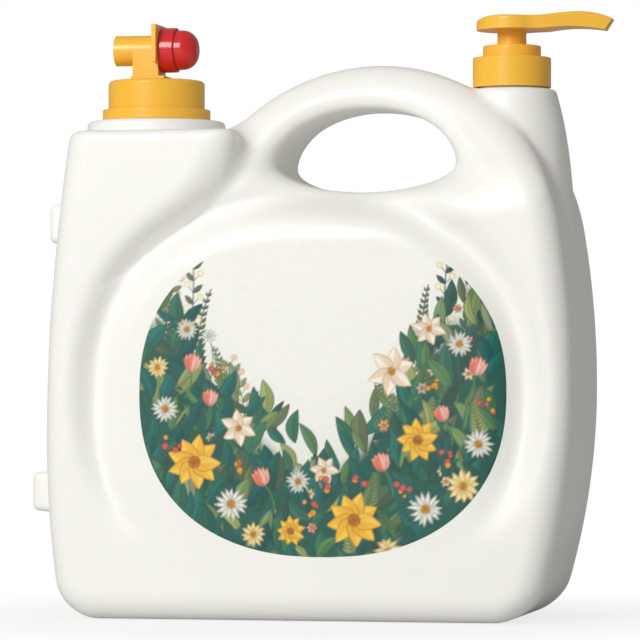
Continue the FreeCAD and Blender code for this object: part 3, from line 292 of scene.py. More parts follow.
WHITE = moulded("white_hdpe", color=(0.93, 0.93, 0.9), shade=(0.91, 0.912, 0.885), roughness=0.38,
                grain=900, depth=0.00003, Subsurface_Weight=0.05, Subsurface_Scale=0.004)
YELLOW = moulded("yellow_pp", color=(0.95, 0.53, 0.055), shade=(0.93, 0.5, 0.045), roughness=0.32,
                 grain=1400, depth=0.00002)
RED = moulded("red_pp", color=(0.68, 0.024, 0.03), shade=(0.62, 0.02, 0.026), roughness=0.2,
              grain=1400, depth=0.00001)
NATURAL = moulded("natural_pp", color=(0.86, 0.87, 0.86), shade=(0.82, 0.84, 0.84), roughness=0.3,
                  grain=1200, depth=0.00002, Transmission_Weight=0.15)
FOAM = moulded("foam_washer", color=(0.88, 0.88, 0.86), shade=(0.8, 0.8, 0.78), roughness=0.8,
               grain=2600, depth=0.00008)
RUBBER = moulded("seal_rubber", color=(0.03, 0.03, 0.033), shade=(0.045, 0.045, 0.05), roughness=0.6,
                 grain=2200, depth=0.00003)


def drawn_wire():
    """Stainless wire with an uneven gloss."""
    material, shader = principled("spring_steel", color=(0.62, 0.63, 0.65), roughness=0.25, Metallic=1)
    gloss = spread(material, object_noise(material, scale=2600, detail=3), low=0.18, high=0.38)
    link(material, gloss, shader.inputs["Roughness"])
    return material


def ball_glass():
    """Glass for the ball of the foot valve."""
    material, shader = principled("ball_glass", color=(0.8, 0.88, 0.9), roughness=0.03,
                                  Transmission_Weight=1, IOR=1.5)
    gloss = spread(material, object_noise(material, scale=800, detail=2), low=0.02, high=0.06)
    link(material, gloss, shader.inputs["Roughness"])
    return material


STEEL = drawn_wire()
GLASS = ball_glass()


# The bottle's outside

LEFT_REACH = 0.141
RIGHT_REACH = 0.1425
LEFT_WIDEST = 0.095
RIGHT_WIDEST = 0.125
LEFT_UPPER = 1.073
LEFT_LOWER = 0.54
RIGHT_LOWER = 0.385
BASE_CORNER = 0.02
EDGE = 0.014
TOWER_TOP = 0.26
TOWER_RIGHT = -0.036
TOWER_LEAN = 0.47
TOWER_BEND_X = -0.052
TOWER_BEND_Z = 0.2275
TOWER_EDGE = 0.009
TOWER_BEND = 0.012
TOWER_JOIN = 0.19
TOWER_RIM = 0.005
DIAGONAL = 0.7071
LOOP_X = 0.033
LOOP_Z = 0.1912
LOOP_RADIUS = RIGHT_REACH - 0.0055 - LOOP_X
WEB_REACH = 0.03
WEB_LOW = 0.215
WEB_HIGH = 0.245
SHOULDER = 0.2165
SHOULDER_RISE = 0.0487
SHOULDER_RADIUS = 0.011
SHOULDER_CLIMB = 0.17
CLIMB_FROM = 0.03
GRIP = 0.017
GRIP_ROOT = 0.04
HOLE_X = 0.0294
HOLE_Z = 0.242
HOLE_WIDTH = 0.0488
HOLE_RISE = 0.0298
HOLE_DROP = 0.0152
HOLE_RIM = 0.01
HOLE_RIM_MORE = 0.011
HOLE_RIM_LOW = 0.236
HOLE_RIM_HIGH = 0.258
ROOT = 0.009
CREASE = 0.003
ROOT_LOW = SHOULDER - 0.005
ROOT_HIGH = SHOULDER + 0.03
FILLET = 0.0015
RING_X = 0.0023
RING_Z = 0.118
RING_WIDTH = 0.1155
RING_HEIGHT = 0.105
RING_POWER = 2.3
RING_DEPTH = 0.0095
RING_SOFT = 0.0078
RING_SOFTER = 0.002
RING_ROOM = 0.002
RING_JOIN = 0.135
RING_END_LOW = 0.03
RING_END_HIGH = 0.13
TURRET_TOP = 0.282
TURRET_WAIST = 0.19
TURRET_WIDE = 0.0365
TURRET_NARROW = 0.0234
TURRET_RIM = 0.002
BOSS_RADIUS = 0.0376
BOSS_TOP = 0.2675
BOSS_EDGE = 0.003
FOOT_HALF_WIDTH = 0.035
FOOT_ROOT = LEFT_REACH - 0.028
FOOT_SLOPE = 0.004
FOOT_EDGE = 0.003
# Lower edge, upper edge and reach to the left of each side foot
FEET = ((0.197, 0.225, 0.1432), (0.053, 0.081, 0.1526))
# Axis, radius and foot of the bore under each neck
BORES = ((TAP_X, 0.0209, 0.242), (PUMP_X, 0.0159, 0.205))
RECESS_DEPTH = 0.0025
RECESS_LENGTH = 0.092
RECESS_INNER = 0.006
RECESS_OUTER = 0.032
RECESS_CORNER = 0.01
RECESS_EDGE = 0.001


def oval(x, z, centre_x, centre_z, half_width, half_height, power):
    """A superellipse's own measure, 1 on its line, and about the distance from that line."""
    across = np.abs(x - centre_x) / half_width + TINY
    up = np.abs(z - centre_z) / half_height + TINY
    reach = (across**power + up**power) ** (1 / power)
    slope_x = (across / reach) ** (power - 1) / half_width
    slope_z = (up / reach) ** (power - 1) / half_height
    return reach, (reach - 1) / np.hypot(slope_x, slope_z)


def ring_valley(x, z):
    """Depth of the soft valley round the label."""
    off = oval(x, z, RING_X, RING_Z, RING_WIDTH, RING_HEIGHT, RING_POWER)[1]
    soft = RING_SOFT + RING_SOFTER * fade(0, RING_WIDTH, x)
    return RING_DEPTH * np.exp(-((off / soft) ** 2)) * fade(RING_END_LOW, RING_END_HIGH, z)


def left_side(x, z):
    """The bowed left side."""
    upper = disc(x, z, LEFT_UPPER - LEFT_REACH, LEFT_WIDEST, LEFT_UPPER)
    lower = disc(x, z, LEFT_LOWER - LEFT_REACH, LEFT_WIDEST, LEFT_LOWER)
    return np.where(z > LEFT_WIDEST, upper, lower)


def right_side(x, z):
    """The bowed right side, which runs on into the handle's round back."""
    run = RIGHT_REACH - LOOP_X
    rise = LOOP_Z - RIGHT_WIDEST
    big = (run**2 + rise**2 - LOOP_RADIUS**2) / (2 * (run - LOOP_RADIUS))
    touch = atan2(rise, big - run)
    lower = disc(x, z, RIGHT_REACH - RIGHT_LOWER, RIGHT_WIDEST, RIGHT_LOWER)
    upper = disc(x, z, RIGHT_REACH - big, RIGHT_WIDEST, big)
    handle = disc(x, z, LOOP_X, LOOP_Z, LOOP_RADIUS)
    beyond = (z - LOOP_Z) * cos(touch) - (x - LOOP_X) * sin(touch) > 0
    side = np.where(beyond & (x > LOOP_X), handle, np.where(z > RIGHT_WIDEST, upper, lower))
    web = handle - WEB_REACH * (1 - fade(WEB_LOW, WEB_HIGH, z))
    return np.where((z > LOOP_Z) & (x < LOOP_X), web, side)


def shoulder(x, depth, z):
    """The side view: full depth, then in to the grip.

    It follows the ring at the left and climbs at the right.
    """
    reach = HALF_DEPTH - GRIP
    length = hypot(reach, SHOULDER_RISE)
    measure = oval(x, z, RING_X, RING_Z, RING_WIDTH, RING_HEIGHT, RING_POWER)[0]
    along_ring = RING_Z + measure * RING_HEIGHT
    followed = z + np.maximum(along_ring - z, 0) * fade(RING_JOIN, SHOULDER, z)
    climbing = z - SHOULDER_CLIMB * np.maximum(x - CLIMB_FROM, 0)
    level = np.where(x < RING_X, followed, climbing)
    slant = ((depth - HALF_DEPTH) * SHOULDER_RISE + (level - SHOULDER) * reach) / length
    panel = round_max(depth - HALF_DEPTH, slant, SHOULDER_RADIUS)
    return round_min(panel, depth - GRIP, GRIP_ROOT)


def tower(x, depth, z):
    """The left tower. Its right flank slants back, and follows the ring below the ring's top."""
    high = np.maximum(z, TOWER_JOIN)
    slanted = (x - TOWER_RIGHT + (TOWER_TOP - high) * TOWER_LEAN) / hypot(1, TOWER_LEAN)
    diagonal = (x - TOWER_BEND_X + TOWER_BEND_Z - high) * DIAGONAL
    inside = RING_ROOM - oval(x, z, RING_X, RING_Z, RING_WIDTH, RING_HEIGHT, RING_POWER)[1]
    edge = round_max(round_max(slanted, diagonal, TOWER_BEND), inside, TOWER_BEND / 2)
    flank = (edge - (HALF_DEPTH - depth)) * DIAGONAL
    outline = round_max(left_side(x, z), -z, BASE_CORNER)
    form = round_max(depth - HALF_DEPTH, outline, EDGE)
    form = round_max(form, flank, TOWER_EDGE)
    form = round_max(form, x - TOWER_RIGHT, TOWER_EDGE)
    return round_max(form, z - TOWER_TOP, TOWER_RIM)


def loop(x, depth, z):
    """The body right of the tower with its shoulder and handle."""
    outline = round_max(np.maximum(right_side(x, z), left_side(x, z)), -z, BASE_CORNER)
    return round_max(shoulder(x, depth, z), outline, EDGE)


def turret(x, y, z):
    """The right tower, round, with a flank that curves in to its top and a foot cut by the body's side."""
    rise = TURRET_TOP - TURRET_WAIST
    step = TURRET_WIDE - TURRET_NARROW
    flank = (rise**2 + step**2) / (2 * step)
    out = np.hypot(x - PUMP_X, y)
    curved = disc(out, z, TURRET_WIDE - flank, TURRET_WAIST, flank)
    side = np.where(z > TURRET_WAIST, curved, out - TURRET_WIDE)
    lower = disc(x, z, RIGHT_REACH - RIGHT_LOWER, RIGHT_WIDEST, RIGHT_LOWER)
    within = round_max(np.where(z > RIGHT_WIDEST, x - RIGHT_REACH, lower), -z, BASE_CORNER)
    side = round_max(side, within, EDGE)
    return round_max(side, z - TURRET_TOP, TURRET_RIM)


def hand_hole(x, z):
    """The hand hole's outline: a high arch over a shallow bowl."""
    height = np.where(z > HOLE_Z, HOLE_RISE, HOLE_DROP)
    return oval(x, z, HOLE_X, HOLE_Z, HOLE_WIDTH, height, 2)[1]


def side_foot(x, y, z, low, high, reach):
    """One of the two bars on the left side."""
    half = (high - low) / 2
    run = reach - FOOT_ROOT
    slanted = (np.abs(z - (low + high) / 2) - half) + (-x - FOOT_ROOT) * FOOT_SLOPE / run
    bar = round_max(slanted, -x - reach, FOOT_EDGE)
    return np.maximum(round_max(bar, np.abs(y) - FOOT_HALF_WIDTH, FOOT_EDGE), x + FOOT_ROOT)


def bottle_field(x, y, z):
    """The whole outside of the bottle below its necks, with the bores under them."""
    deep = np.abs(y)
    sunk = deep + ring_valley(x, z)
    above = fade(ROOT_LOW, ROOT_HIGH, z)
    form = round_min(tower(x, sunk, z), loop(x, sunk, z), ROOT * above)
    form = round_min(form, turret(x, y, z), CREASE * above)
    rim = HOLE_RIM + HOLE_RIM_MORE * (1 - fade(HOLE_RIM_LOW, HOLE_RIM_HIGH, z))
    form = round_max(form, -hand_hole(x, z), rim)
    for low, high, reach in FEET:
        form = round_min(form, side_foot(x, y, z, low, high, reach), FILLET)
    boss = round_max(np.hypot(x - TAP_X, y) - BOSS_RADIUS, z - BOSS_TOP, BOSS_EDGE)
    boss = np.maximum(boss, TOWER_TOP - BASE_CORNER - z)
    form = round_min(form, boss, FILLET)
    along = np.abs(x) - RECESS_LENGTH
    middle = (RECESS_INNER + RECESS_OUTER) / 2
    beside = np.abs(deep - middle) - (RECESS_OUTER - RECESS_INNER) / 2
    recess = round_max(round_max(along, beside, RECESS_CORNER), z - RECESS_DEPTH, RECESS_DEPTH / 2)
    form = round_max(form, -recess, RECESS_EDGE)
    for axis_x, radius, foot in BORES:
        form = np.maximum(form, -np.maximum(np.hypot(x - axis_x, y) - radius, foot - z))
    return form


BOTTLE_CELL = 0.0018


def build_bottle():
    """The blown body."""
    low = (BOTTLE_LOW.x, -HALF_DEPTH, 0)
    high = (BOTTLE_HIGH.x, HALF_DEPTH, LOOP_Z + LOOP_RADIUS)
    body = sculpt("jug_body", bottle_field, low, high, BOTTLE_CELL, WHITE)
    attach(body, "bottle")
    return body


jug = build_bottle()
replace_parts(jug, "bottle")


# Turned necks

PITCH = 0.00423
NECK_ROWS = 60
NECK_SIDES = 120
NECK_SUNK = 0.0015
NECK_CORNER = 0.0006
NECK_FOOT = 0.0001
THREAD_HEIGHT = 0.0003
THREAD_HALF = 0.0011
THREAD_POWER = 0.7
THREAD_RISE = 0.001
THREAD_FADE = 0.0035
THREAD_END = 0.0025
THREAD_INSET = 0.0002
TAP_RIM = 0.2845
TAP_BORE = 0.0205
TAP_NECK = 0.023
TAP_THREAD = BOSS_TOP + 0.004
PUMP_RIM = 0.2946
PUMP_BORE = 0.0155
PUMP_NECK = 0.0176
PUMP_THREAD = TURRET_TOP + 0.003


def turned_mesh(outline, sides, ridge):
    """A ring turned from a closed outline of (radius, height), with a ridge on its radius."""
    angle = 2 * pi * np.arange(sides) / sides
    radius, height = np.array(outline).T[:, :, None]
    radius = radius + ridge(angle, radius, height)
    height = height + 0 * angle
    points = np.stack([radius * np.cos(angle), radius * np.sin(angle), height], axis=-1)
    row = np.arange(len(outline))[:, None]
    column = np.arange(sides)
    below = (row + 1) % len(outline)
    beside = (column + 1) % sides
    corners = [row * sides + column, row * sides + beside]
    corners += [below * sides + beside, below * sides + column]
    return points.reshape(-1, 3), np.stack([corner.ravel() for corner in corners], axis=1)


def build_neck(name, axis_x, low, high, bore, outside, start):
    """One neck of the bottle with its thread ridge, from inside the body up to its rim."""
    rows = np.linspace(low, high - NECK_CORNER, NECK_ROWS)
    outline = [(bore, low + NECK_FOOT), (outside, low)]
    outline += [(outside, level) for level in rows[1:]]
    outline += [(outside - NECK_CORNER, high), (bore + NECK_CORNER, high), (bore, high - NECK_CORNER)]

    def ridge(angle, radius, height):
        """A rounded thread that runs up the outside."""
        turn = (height - start) / PITCH - angle / (2 * pi)
        off = np.abs(turn - np.round(turn)) * PITCH
        begun = fade(start - THREAD_RISE, start, height)
        ended = fade(high - THREAD_FADE, high - THREAD_END, height)
        on_outside = radius > outside - THREAD_INSET
        crest = THREAD_HEIGHT * np.clip(1 - off / THREAD_HALF, 0, 1) ** THREAD_POWER
        return crest * (begun * (1 - ended)) * on_outside

    points, faces = turned_mesh(outline, NECK_SIDES, ridge)
    neck = mesh_object(name, points + np.array([axis_x, 0, 0]), faces, WHITE)
    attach(neck, "bottle")


build_neck("tap_neck", TAP_X, BOSS_TOP - NECK_SUNK, TAP_RIM, TAP_BORE, TAP_NECK, TAP_THREAD)
build_neck("pump_neck", PUMP_X, TURRET_TOP - NECK_SUNK, PUMP_RIM, PUMP_BORE, PUMP_NECK, PUMP_THREAD)


# Springs

COIL_WIRE = 0.00045
COIL_TURNS = 5
COIL_STEPS = 32
COIL_SIDES = 12


def coil_mesh(low, high):
    """Points and triangles of a lying coil of round wire that fills this box."""
    radius = (high.y - low.y) / 2 - COIL_WIRE
    middle = (low.z + high.z) / 2
    turn = np.linspace(0, 2 * pi * COIL_TURNS, COIL_STEPS * COIL_TURNS + 1)[:, None]
    section = 2 * pi * np.arange(COIL_SIDES) / COIL_SIDES
    along = low.x + COIL_WIRE + (high.x - low.x - 2 * COIL_WIRE) * turn / turn[-1]
    out = radius + COIL_WIRE * np.cos(section)
    round_wire = along + COIL_WIRE * np.sin(section)
    skin = np.stack([round_wire, out * np.sin(turn), middle - out * np.cos(turn)], axis=-1)
    ends = [(along[0, 0], 0, middle - radius), (along[-1, 0], 0, middle - radius)]
    here = np.arange(COIL_SIDES)
    beside = (here + 1) % COIL_SIDES
    row = COIL_SIDES * np.arange(len(turn) - 1)[:, None]
    corner = [row + here, row + beside, row + COIL_SIDES + beside, row + COIL_SIDES + here]
    last = row[-1, 0] + COIL_SIDES
    first_end = np.full(COIL_SIDES, last + COIL_SIDES)
    faces = [(corner[0], corner[2], corner[1]), (corner[0], corner[3], corner[2]),
             (here, beside, first_end), (last + beside, last + here, first_end + 1)]
    triangles = [np.stack([side.ravel() for side in face], axis=1) for face in faces]
    return np.concatenate([skin.reshape(-1, 3), ends]), np.concatenate(triangles)


def build_button_coil():
    """The button's spring: a lying coil that fills the box of the imported spring."""
    low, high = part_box("button_spring")
    coil = mesh_object("button_coil", *coil_mesh(low, high), STEEL)
    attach(coil, "tap")
    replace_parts(coil, "button_spring")
    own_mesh(coil)


build_button_coil()


# Label: a canvas of points on the film, painted with leaves and flowers drawn by formula.
# Places on it are in millimetres from the label's centre.

LABEL_X = (LABEL_LOW.x + LABEL_HIGH.x) / 2
LABEL_Z = (LABEL_LOW.z + LABEL_HIGH.z) / 2
FILM = 0.00008
LABEL_WIDE = 1000 * (LABEL_HIGH.x - LABEL_LOW.x) / 2
LABEL_TALL = 1000 * (LABEL_HIGH.z - LABEL_LOW.z) / 2
LABEL_POWER = 2.3
LABEL_ENDS = 0.9995
ROWS = 300
COLUMNS = 332
SOFT = 0.55
LEAF_POWER = 0.8
LEAF_TONE = 0.86
LEAF_TONE_RISE = 0.2
LINE_INSET = 0.25
LINE_HALF = 0.3
LINE_STRENGTH = 0.55
VEIN_HALF = 0.22
VEIN_MARGIN = 0.4
VEIN_STRENGTH = 0.45
SPOT_LINE_HALF = 0.22
SPOT_LINE_STRENGTH = 0.6
PETAL_SWAY = 0.06
PETAL_LENGTHS = (0.9, 1.04)
SEEDS_PER_SIZE = 14
SEED_PLACES = (0.1, 0.95)
SEED_TONES = (0.45, 1.2)
CUP_LEANS = (-0.5, 0.5, -0.25, 0.25, 0.0)


def tint(red, green, blue):
    """A printed sRGB colour as scene light values."""
    level = np.array([red, green, blue]) / 255
    return np.where(level < 0.04045, level / 12.92, ((level + 0.055) / 1.055) ** 2.4)


PAPER = tint(246, 246, 242)
INK = tint(52, 66, 58)
GREEN_TINTS = ((30, 108, 98), (38, 124, 112), (62, 128, 96), (92, 142, 92), (128, 158, 104),
               (112, 128, 92), (148, 164, 128), (86, 112, 84), (48, 96, 84), (164, 178, 110))
GREENS = [tint(*levels) for levels in GREEN_TINTS]
DEEP_TINTS = ((22, 100, 98), (30, 116, 108), (40, 100, 88), (58, 120, 100))
DEEP = [tint(*levels) for levels in DEEP_TINTS]
HAZE = tint(206, 220, 200)
GOLD = tint(250, 206, 84)
GOLD_TIP = tint(246, 188, 62)
GOLD_LINE = tint(150, 92, 30)
GOLD_EYE = tint(206, 128, 36)
AMBER = tint(232, 160, 52)
CREAM = tint(250, 240, 196)
CREAM_TIP = tint(248, 216, 130)
CREAM_LINE = tint(160, 120, 60)
IVORY = tint(252, 250, 244)
IVORY_TIP = tint(226, 230, 222)
IVORY_LINE = tint(122, 126, 112)
FAR_TIP = tint(232, 234, 226)
FAR_LINE = tint(120, 128, 118)
SHELL = tint(252, 244, 226)
SHELL_TIP = tint(242, 216, 190)
SHELL_LINE = tint(168, 138, 108)
CORAL = tint(238, 138, 116)
ROSE = tint(214, 92, 88)
BLUSH = tint(246, 198, 182)
SKY = tint(150, 196, 206)

heights = np.linspace(-LABEL_ENDS, LABEL_ENDS, ROWS)
half_widths = LABEL_WIDE * (1 - np.abs(heights) ** LABEL_POWER) ** (1 / LABEL_POWER)
across = half_widths[:, None] * np.linspace(-1, 1, COLUMNS)[None, :]
upward = np.broadcast_to((LABEL_TALL * heights)[:, None], across.shape)
canvas = np.broadcast_to(PAPER, (*across.shape, 3)).copy()


def window(u, v, reach):
    """The part of the canvas within reach of a place."""
    rows = np.flatnonzero(np.abs(upward[:, 0] - v) < reach)
    if not len(rows):
        return None
    part = slice(rows[0], rows[-1] + 1)
    columns = np.flatnonzero((np.abs(across[part] - u) < reach).any(axis=0))
    if not len(columns):
        return None
    return part, slice(columns[0], columns[-1] + 1)


def paint(part, off, color, strength=1.0):
    """Lay a colour where the distance to a shape's edge is negative, with a soft edge."""
    cover = (np.clip(0.5 - off / SOFT, 0, 1) * strength)[..., None]
    canvas[part] = canvas[part] * (1 - cover) + color * cover


def bow(bend, along):
    """How far a bent midrib stands off its chord at this share of it."""
    return bend * along * (1 - along) * 4


def on_stalk(u, v, angle, length, bend, along):
    """The place at this share of a bent stalk."""
    off = bow(bend, along)
    x = u + length * along * cos(angle) - off * sin(angle)
    y = v + length * along * sin(angle) + off * cos(angle)
    return x, y


def along_and_beside(part, u, v, angle, length, bend):
    """For each place of the canvas, the share along a bent midrib and the distance beside it."""
    du = across[part] - u
    dv = upward[part] - v
    along = (du * cos(angle) + dv * sin(angle)) / length
    return along, -du * sin(angle) + dv * cos(angle) - bow(bend, along)


def leaf(u, v, angle, length, width, bend, near, far, line, fat=1.0, vein=VEIN_HALF):
    """A leaf or petal with a bent midrib, two tones beside it and a drawn outline."""
    reach = length / 2 + width + abs(bend)
    part = window(u + length / 2 * cos(angle), v + length / 2 * sin(angle), reach)
    if part is None:
        return
    along, side = along_and_beside(part, u, v, angle, length, bend)
    inside = np.clip(along, 0, 1)
    half = width / 2 * np.sin(pi * inside**fat) ** LEAF_POWER
    beyond = length * np.maximum(-along, along - 1)
    off = np.maximum(np.abs(side) - half, beyond)
    tone = np.where((side > 0)[..., None], near, far)
    shade = (LEAF_TONE + LEAF_TONE_RISE * inside)[..., None]
    paint(part, off, tone * shade)
    paint(part, np.maximum(np.abs(off + LINE_INSET) - LINE_HALF, -1), line, LINE_STRENGTH)
    if vein:
        paint(part, np.maximum(np.abs(side) - vein, off + VEIN_MARGIN), line, VEIN_STRENGTH)


def stem(u, v, angle, length, bend, width, color):
    """A thin bent stalk."""
    reach = length / 2 + 2 + abs(bend)
    part = window(u + length / 2 * cos(angle), v + length / 2 * sin(angle), reach)
    if part is None:
        return
    along, side = along_and_beside(part, u, v, angle, length, bend)
    beyond = length * np.maximum(-along, along - 1)
    paint(part, np.maximum(np.abs(side) - width / 2, beyond), color)


def dot(u, v, radius, color, line):
    """A filled round spot with a drawn edge."""
    part = window(u, v, radius + 1)
    if part is None:
        return
    off = np.hypot(across[part] - u, upward[part] - v) - radius
    paint(part, off, color)
    paint(part, np.abs(off) - SPOT_LINE_HALF, line, SPOT_LINE_STRENGTH)


def bloom(u, v, radius, count, width, petal, tip, line, eye, eye_size, turn=0.0, fat=0.75):
    """A round flower of petals about an eye."""
    for index in range(count):
        angle = turn + 2 * pi * index / count + rng.uniform(-PETAL_SWAY, PETAL_SWAY)
        long = radius * rng.uniform(*PETAL_LENGTHS)
        bend = rng.uniform(-PETAL_SWAY, PETAL_SWAY) * radius
        leaf(u, v, angle, long, width, bend, petal, tip, line, fat, vein=0)
    for index in range(count):
        angle = turn + 2 * pi * (index + 0.5) / count
        stem(u, v, angle, radius * 0.55, bend=0, width=0.35, color=line * 0.4 + petal * 0.6)
    dot(u, v, eye_size, eye, line)
    for _ in range(int(SEEDS_PER_SIZE * eye_size)):
        angle = rng.uniform(0, 2 * pi)
        out = eye_size * rng.uniform(*SEED_PLACES)
        seed = eye * rng.uniform(*SEED_TONES)
        dot(u + out * cos(angle), v + out * sin(angle), radius=0.3, color=seed, line=eye * 0.5)


def cup(u, v, angle, size, petal, shade, line):
    """A half-open cup flower seen from the side."""
    stem(u, v, angle + pi, size * 1.8, bend=1.5, width=0.9, color=GREENS[3] * 0.8)
    for lean in CUP_LEANS:
        length = size * (1.25 - 0.25 * abs(lean))
        leaf(u, v, angle + lean, length, size * 0.55, 0, petal, shade, line, fat=0.8, vein=0)


def frond(u, v, angle, length, bend, pairs, leaflet, color, line):
    """A fern frond of leaflets along a bent stalk."""
    stem(u, v, angle, length, bend, width=0.8, color=color * 0.7)
    for index in range(pairs):
        along = (index + 1) / (pairs + 1)
        x, y = on_stalk(u, v, angle, length, bend, along)
        size = leaflet * (1.05 - along) + 1.4
        width = size * 0.34 + 0.5
        for side in (-1, 1):
            lean = angle + side * (0.95 - 0.35 * along)
            leaf(x, y, lean, size, width, side * 0.4, color, color * 0.82, line, fat=0.8, vein=0)


def sprig(u, v, angle, length, bend, count, color, fruit):
    """A thin branch with leaves and round buds."""
    stalk = 5.5
    stem(u, v, angle, length, bend, width=0.7, color=color * 0.7)
    for index in range(count):
        along = (index + 2) / (count + 1)
        x, y = on_stalk(u, v, angle, length, bend, along)
        side = 1 if index % 2 else -1
        lean = angle + side * 0.7
        stem(x, y, lean, stalk, bend=0, width=0.4, color=color * 0.7)
        dot(x + stalk * cos(lean), y + stalk * sin(lean), radius=1.5, color=fruit, line=fruit * 0.5)
        leaf(x, y, angle - side * 0.8, 6.5, 2.8, 0, color, color * 0.85, INK, fat=0.9)


def garden_top(u):
    """Height of the planting at this place across the label."""
    reach = np.where(u < 0, 86, 70)
    return -33 + 82 * np.minimum(np.abs(u) / reach, 1) ** 1.4


# Places across, leans, lengths and bends of the tall plants
TALL_FRONDS = ((-80, 1.75, 52, -5), (-66, 1.45, 58, 4), (-52, 1.7, 44, -3), (74, 1.35, 60, -4),
               (60, 1.62, 50, 4), (46, 1.4, 42, -3), (86, 1.7, 46, 3))
TALL_SPRIGS = ((-73, 1.5, 62), (-42, 1.75, 40), (68, 1.55, 56), (38, 1.3, 36), (80, 1.4, 52),
               (-88, 1.3, 40))
TALL_FLOWERS = (-60, -46, 52, 66, 78, -78)
FRUITS = (CREAM, BLUSH, AMBER)


def plant_back():
    """Tall thin plants that rise behind the garden at both sides."""
    for u, lean, length, bend in TALL_FRONDS:
        color = GREENS[int(rng.integers(2, 8))]
        frond(u, garden_top(u) - 26, lean, length, bend, pairs=15, leaflet=7.5, color=color, line=INK)
    for u, lean, length in TALL_SPRIGS:
        bend = rng.uniform(-4, 4)
        color = GREENS[int(rng.integers(4, 10))]
        fruit = FRUITS[int(rng.integers(3))]
        sprig(u, garden_top(u) - 22, lean, length, bend, count=9, color=color, fruit=fruit)
    for u in TALL_FLOWERS:
        top = garden_top(u) + rng.uniform(4, 14)
        stem(u, top, -pi / 2, length=26, bend=2, width=0.6, color=GREENS[5])
        bloom(u, top, 4.2, 9, 2.4, IVORY, FAR_TIP, FAR_LINE, CREAM, eye_size=1.1)


LEAF_ROWS = 13
ROW_DROP = 8.5
ROW_LEAVES = 30
ROW_PLANTS = 4
PLANTING_FOOT = -90
SMALL_TINTS = (CORAL, CREAM, SKY, AMBER)


def plant_leaf(row, drop):
    """One leaf of a row; a deep green is likelier in the lower rows."""
    u = rng.uniform(-99, 99)
    v = garden_top(u) - drop + rng.uniform(-4, 4)
    if v < PLANTING_FOOT:
        return
    angle = pi / 2 - np.sign(u) * 0.18 + rng.uniform(-0.95, 0.95)
    length = rng.uniform(13, 24)
    greens = DEEP if rng.random() < 0.25 + 0.04 * row else GREENS
    near = greens[int(rng.integers(len(greens)))]
    width = length * rng.uniform(0.26, 0.4)
    bend = rng.uniform(-3, 3)
    far = near * rng.uniform(0.72, 0.9)
    leaf(u, v - length * 0.4, angle, length, width, bend, near, far, INK, fat=rng.uniform(0.8, 1.1))


def plant_small(drop):
    """One small frond or flower among the leaves of a row."""
    u = rng.uniform(-96, 96)
    v = garden_top(u) - drop
    if rng.random() < 0.5:
        lean = pi / 2 + rng.uniform(-0.7, 0.7)
        bend = rng.uniform(-3, 3)
        color = GREENS[int(rng.integers(10))]
        frond(u, v - 8, lean, 20, bend, pairs=9, leaflet=5, color=color, line=INK)
    else:
        radius = rng.uniform(2.6, 3.8)
        petal = SMALL_TINTS[int(rng.integers(4))]
        bloom(u, v, radius, 6, 2.2, petal, BLUSH, INK, AMBER, eye_size=0.8)


def plant_leaves():
    """Rows of leaves with small plants among them, from the garden's top down."""
    for row in range(LEAF_ROWS):
        drop = row * ROW_DROP - 4
        for _ in range(ROW_LEAVES):
            plant_leaf(row, drop)
        for _ in range(ROW_PLANTS):
            plant_small(drop)


# Places and sizes of the large flowers
CUPS = ((-70, 12, 8), (-60, -6, 7), (82, 10, 8), (66, -14, 7), (-30, -48, 8), (34, -40, 8))
WHITE_FLOWERS = ((-84, -8, 7.5), (-48, -58, 9), (56, -60, 9.5), (74, 26, 7), (-12, -46, 6.5),
                 (84, -26, 8), (-72, 34, 6))
GOLD_FLOWERS = ((-68, -36, 14.5), (18, -66, 15), (52, -24, 11.5), (-16, -72, 8))
PALE_FLOWERS = ((38, 12, 13), (58, 34, 9), (-44, -18, 10), (2, -40, 8))
CREAM_FLOWERS = ((76, -48, 9), (-36, -74, 6.5), (-88, 14, 6), (36, -82, 7))
BERRIES = ((-56, 14), (-80, -26), (60, 6), (88, -6), (4, -48), (-6, -60), (44, -50), (66, -34),
           (-42, -38), (22, -44))
BERRY_TINTS = (ROSE, AMBER)


def plant_flowers():
    """The large flowers and the berries in front."""
    for u, v, size in CUPS:
        cup(u, v, pi / 2 + rng.uniform(-0.4, 0.4), size, CORAL, BLUSH, ROSE * 0.7)
    for u, v, radius in WHITE_FLOWERS:
        bloom(u, v, radius, 15, radius * 0.3, IVORY, IVORY_TIP, IVORY_LINE, AMBER,
              eye_size=radius * 0.25, turn=rng.uniform(0, 1))
    for u, v, radius in GOLD_FLOWERS:
        bloom(u, v, radius, 9, radius * 0.62, GOLD, GOLD_TIP, GOLD_LINE, GOLD_EYE,
              eye_size=radius * 0.22, turn=rng.uniform(0, 1), fat=0.62)
    for u, v, radius in PALE_FLOWERS:
        bloom(u, v, radius, 6, radius * 0.6, SHELL, SHELL_TIP, SHELL_LINE, AMBER,
              eye_size=radius * 0.16, turn=rng.uniform(0, 1), fat=0.7)
    for u, v, radius in CREAM_FLOWERS:
        bloom(u, v, radius, 12, radius * 0.42, CREAM, CREAM_TIP, CREAM_LINE, AMBER,
              eye_size=radius * 0.24, turn=rng.uniform(0, 1))
    for u, v in BERRIES:
        for _ in range(5):
            x = u + rng.uniform(-4, 4)
            y = v + rng.uniform(-4, 4)
            radius = rng.uniform(0.9, 1.7)
            dot(x, y, radius, BERRY_TINTS[int(rng.integers(2))], INK)


def paint_label():
    """Background wash, then the planting from back to front."""
    height = garden_top(across) - upward
    haze = fade(-34, 30, height)[..., None] * 0.5
    canvas[:] = canvas * (1 - haze) + HAZE * haze
    plant_back()
    solid = fade(6, 20, height)[..., None]
    canvas[:] = canvas * (1 - solid) + DEEP[2] * 0.9 * solid
    plant_leaves()
    plant_flowers()


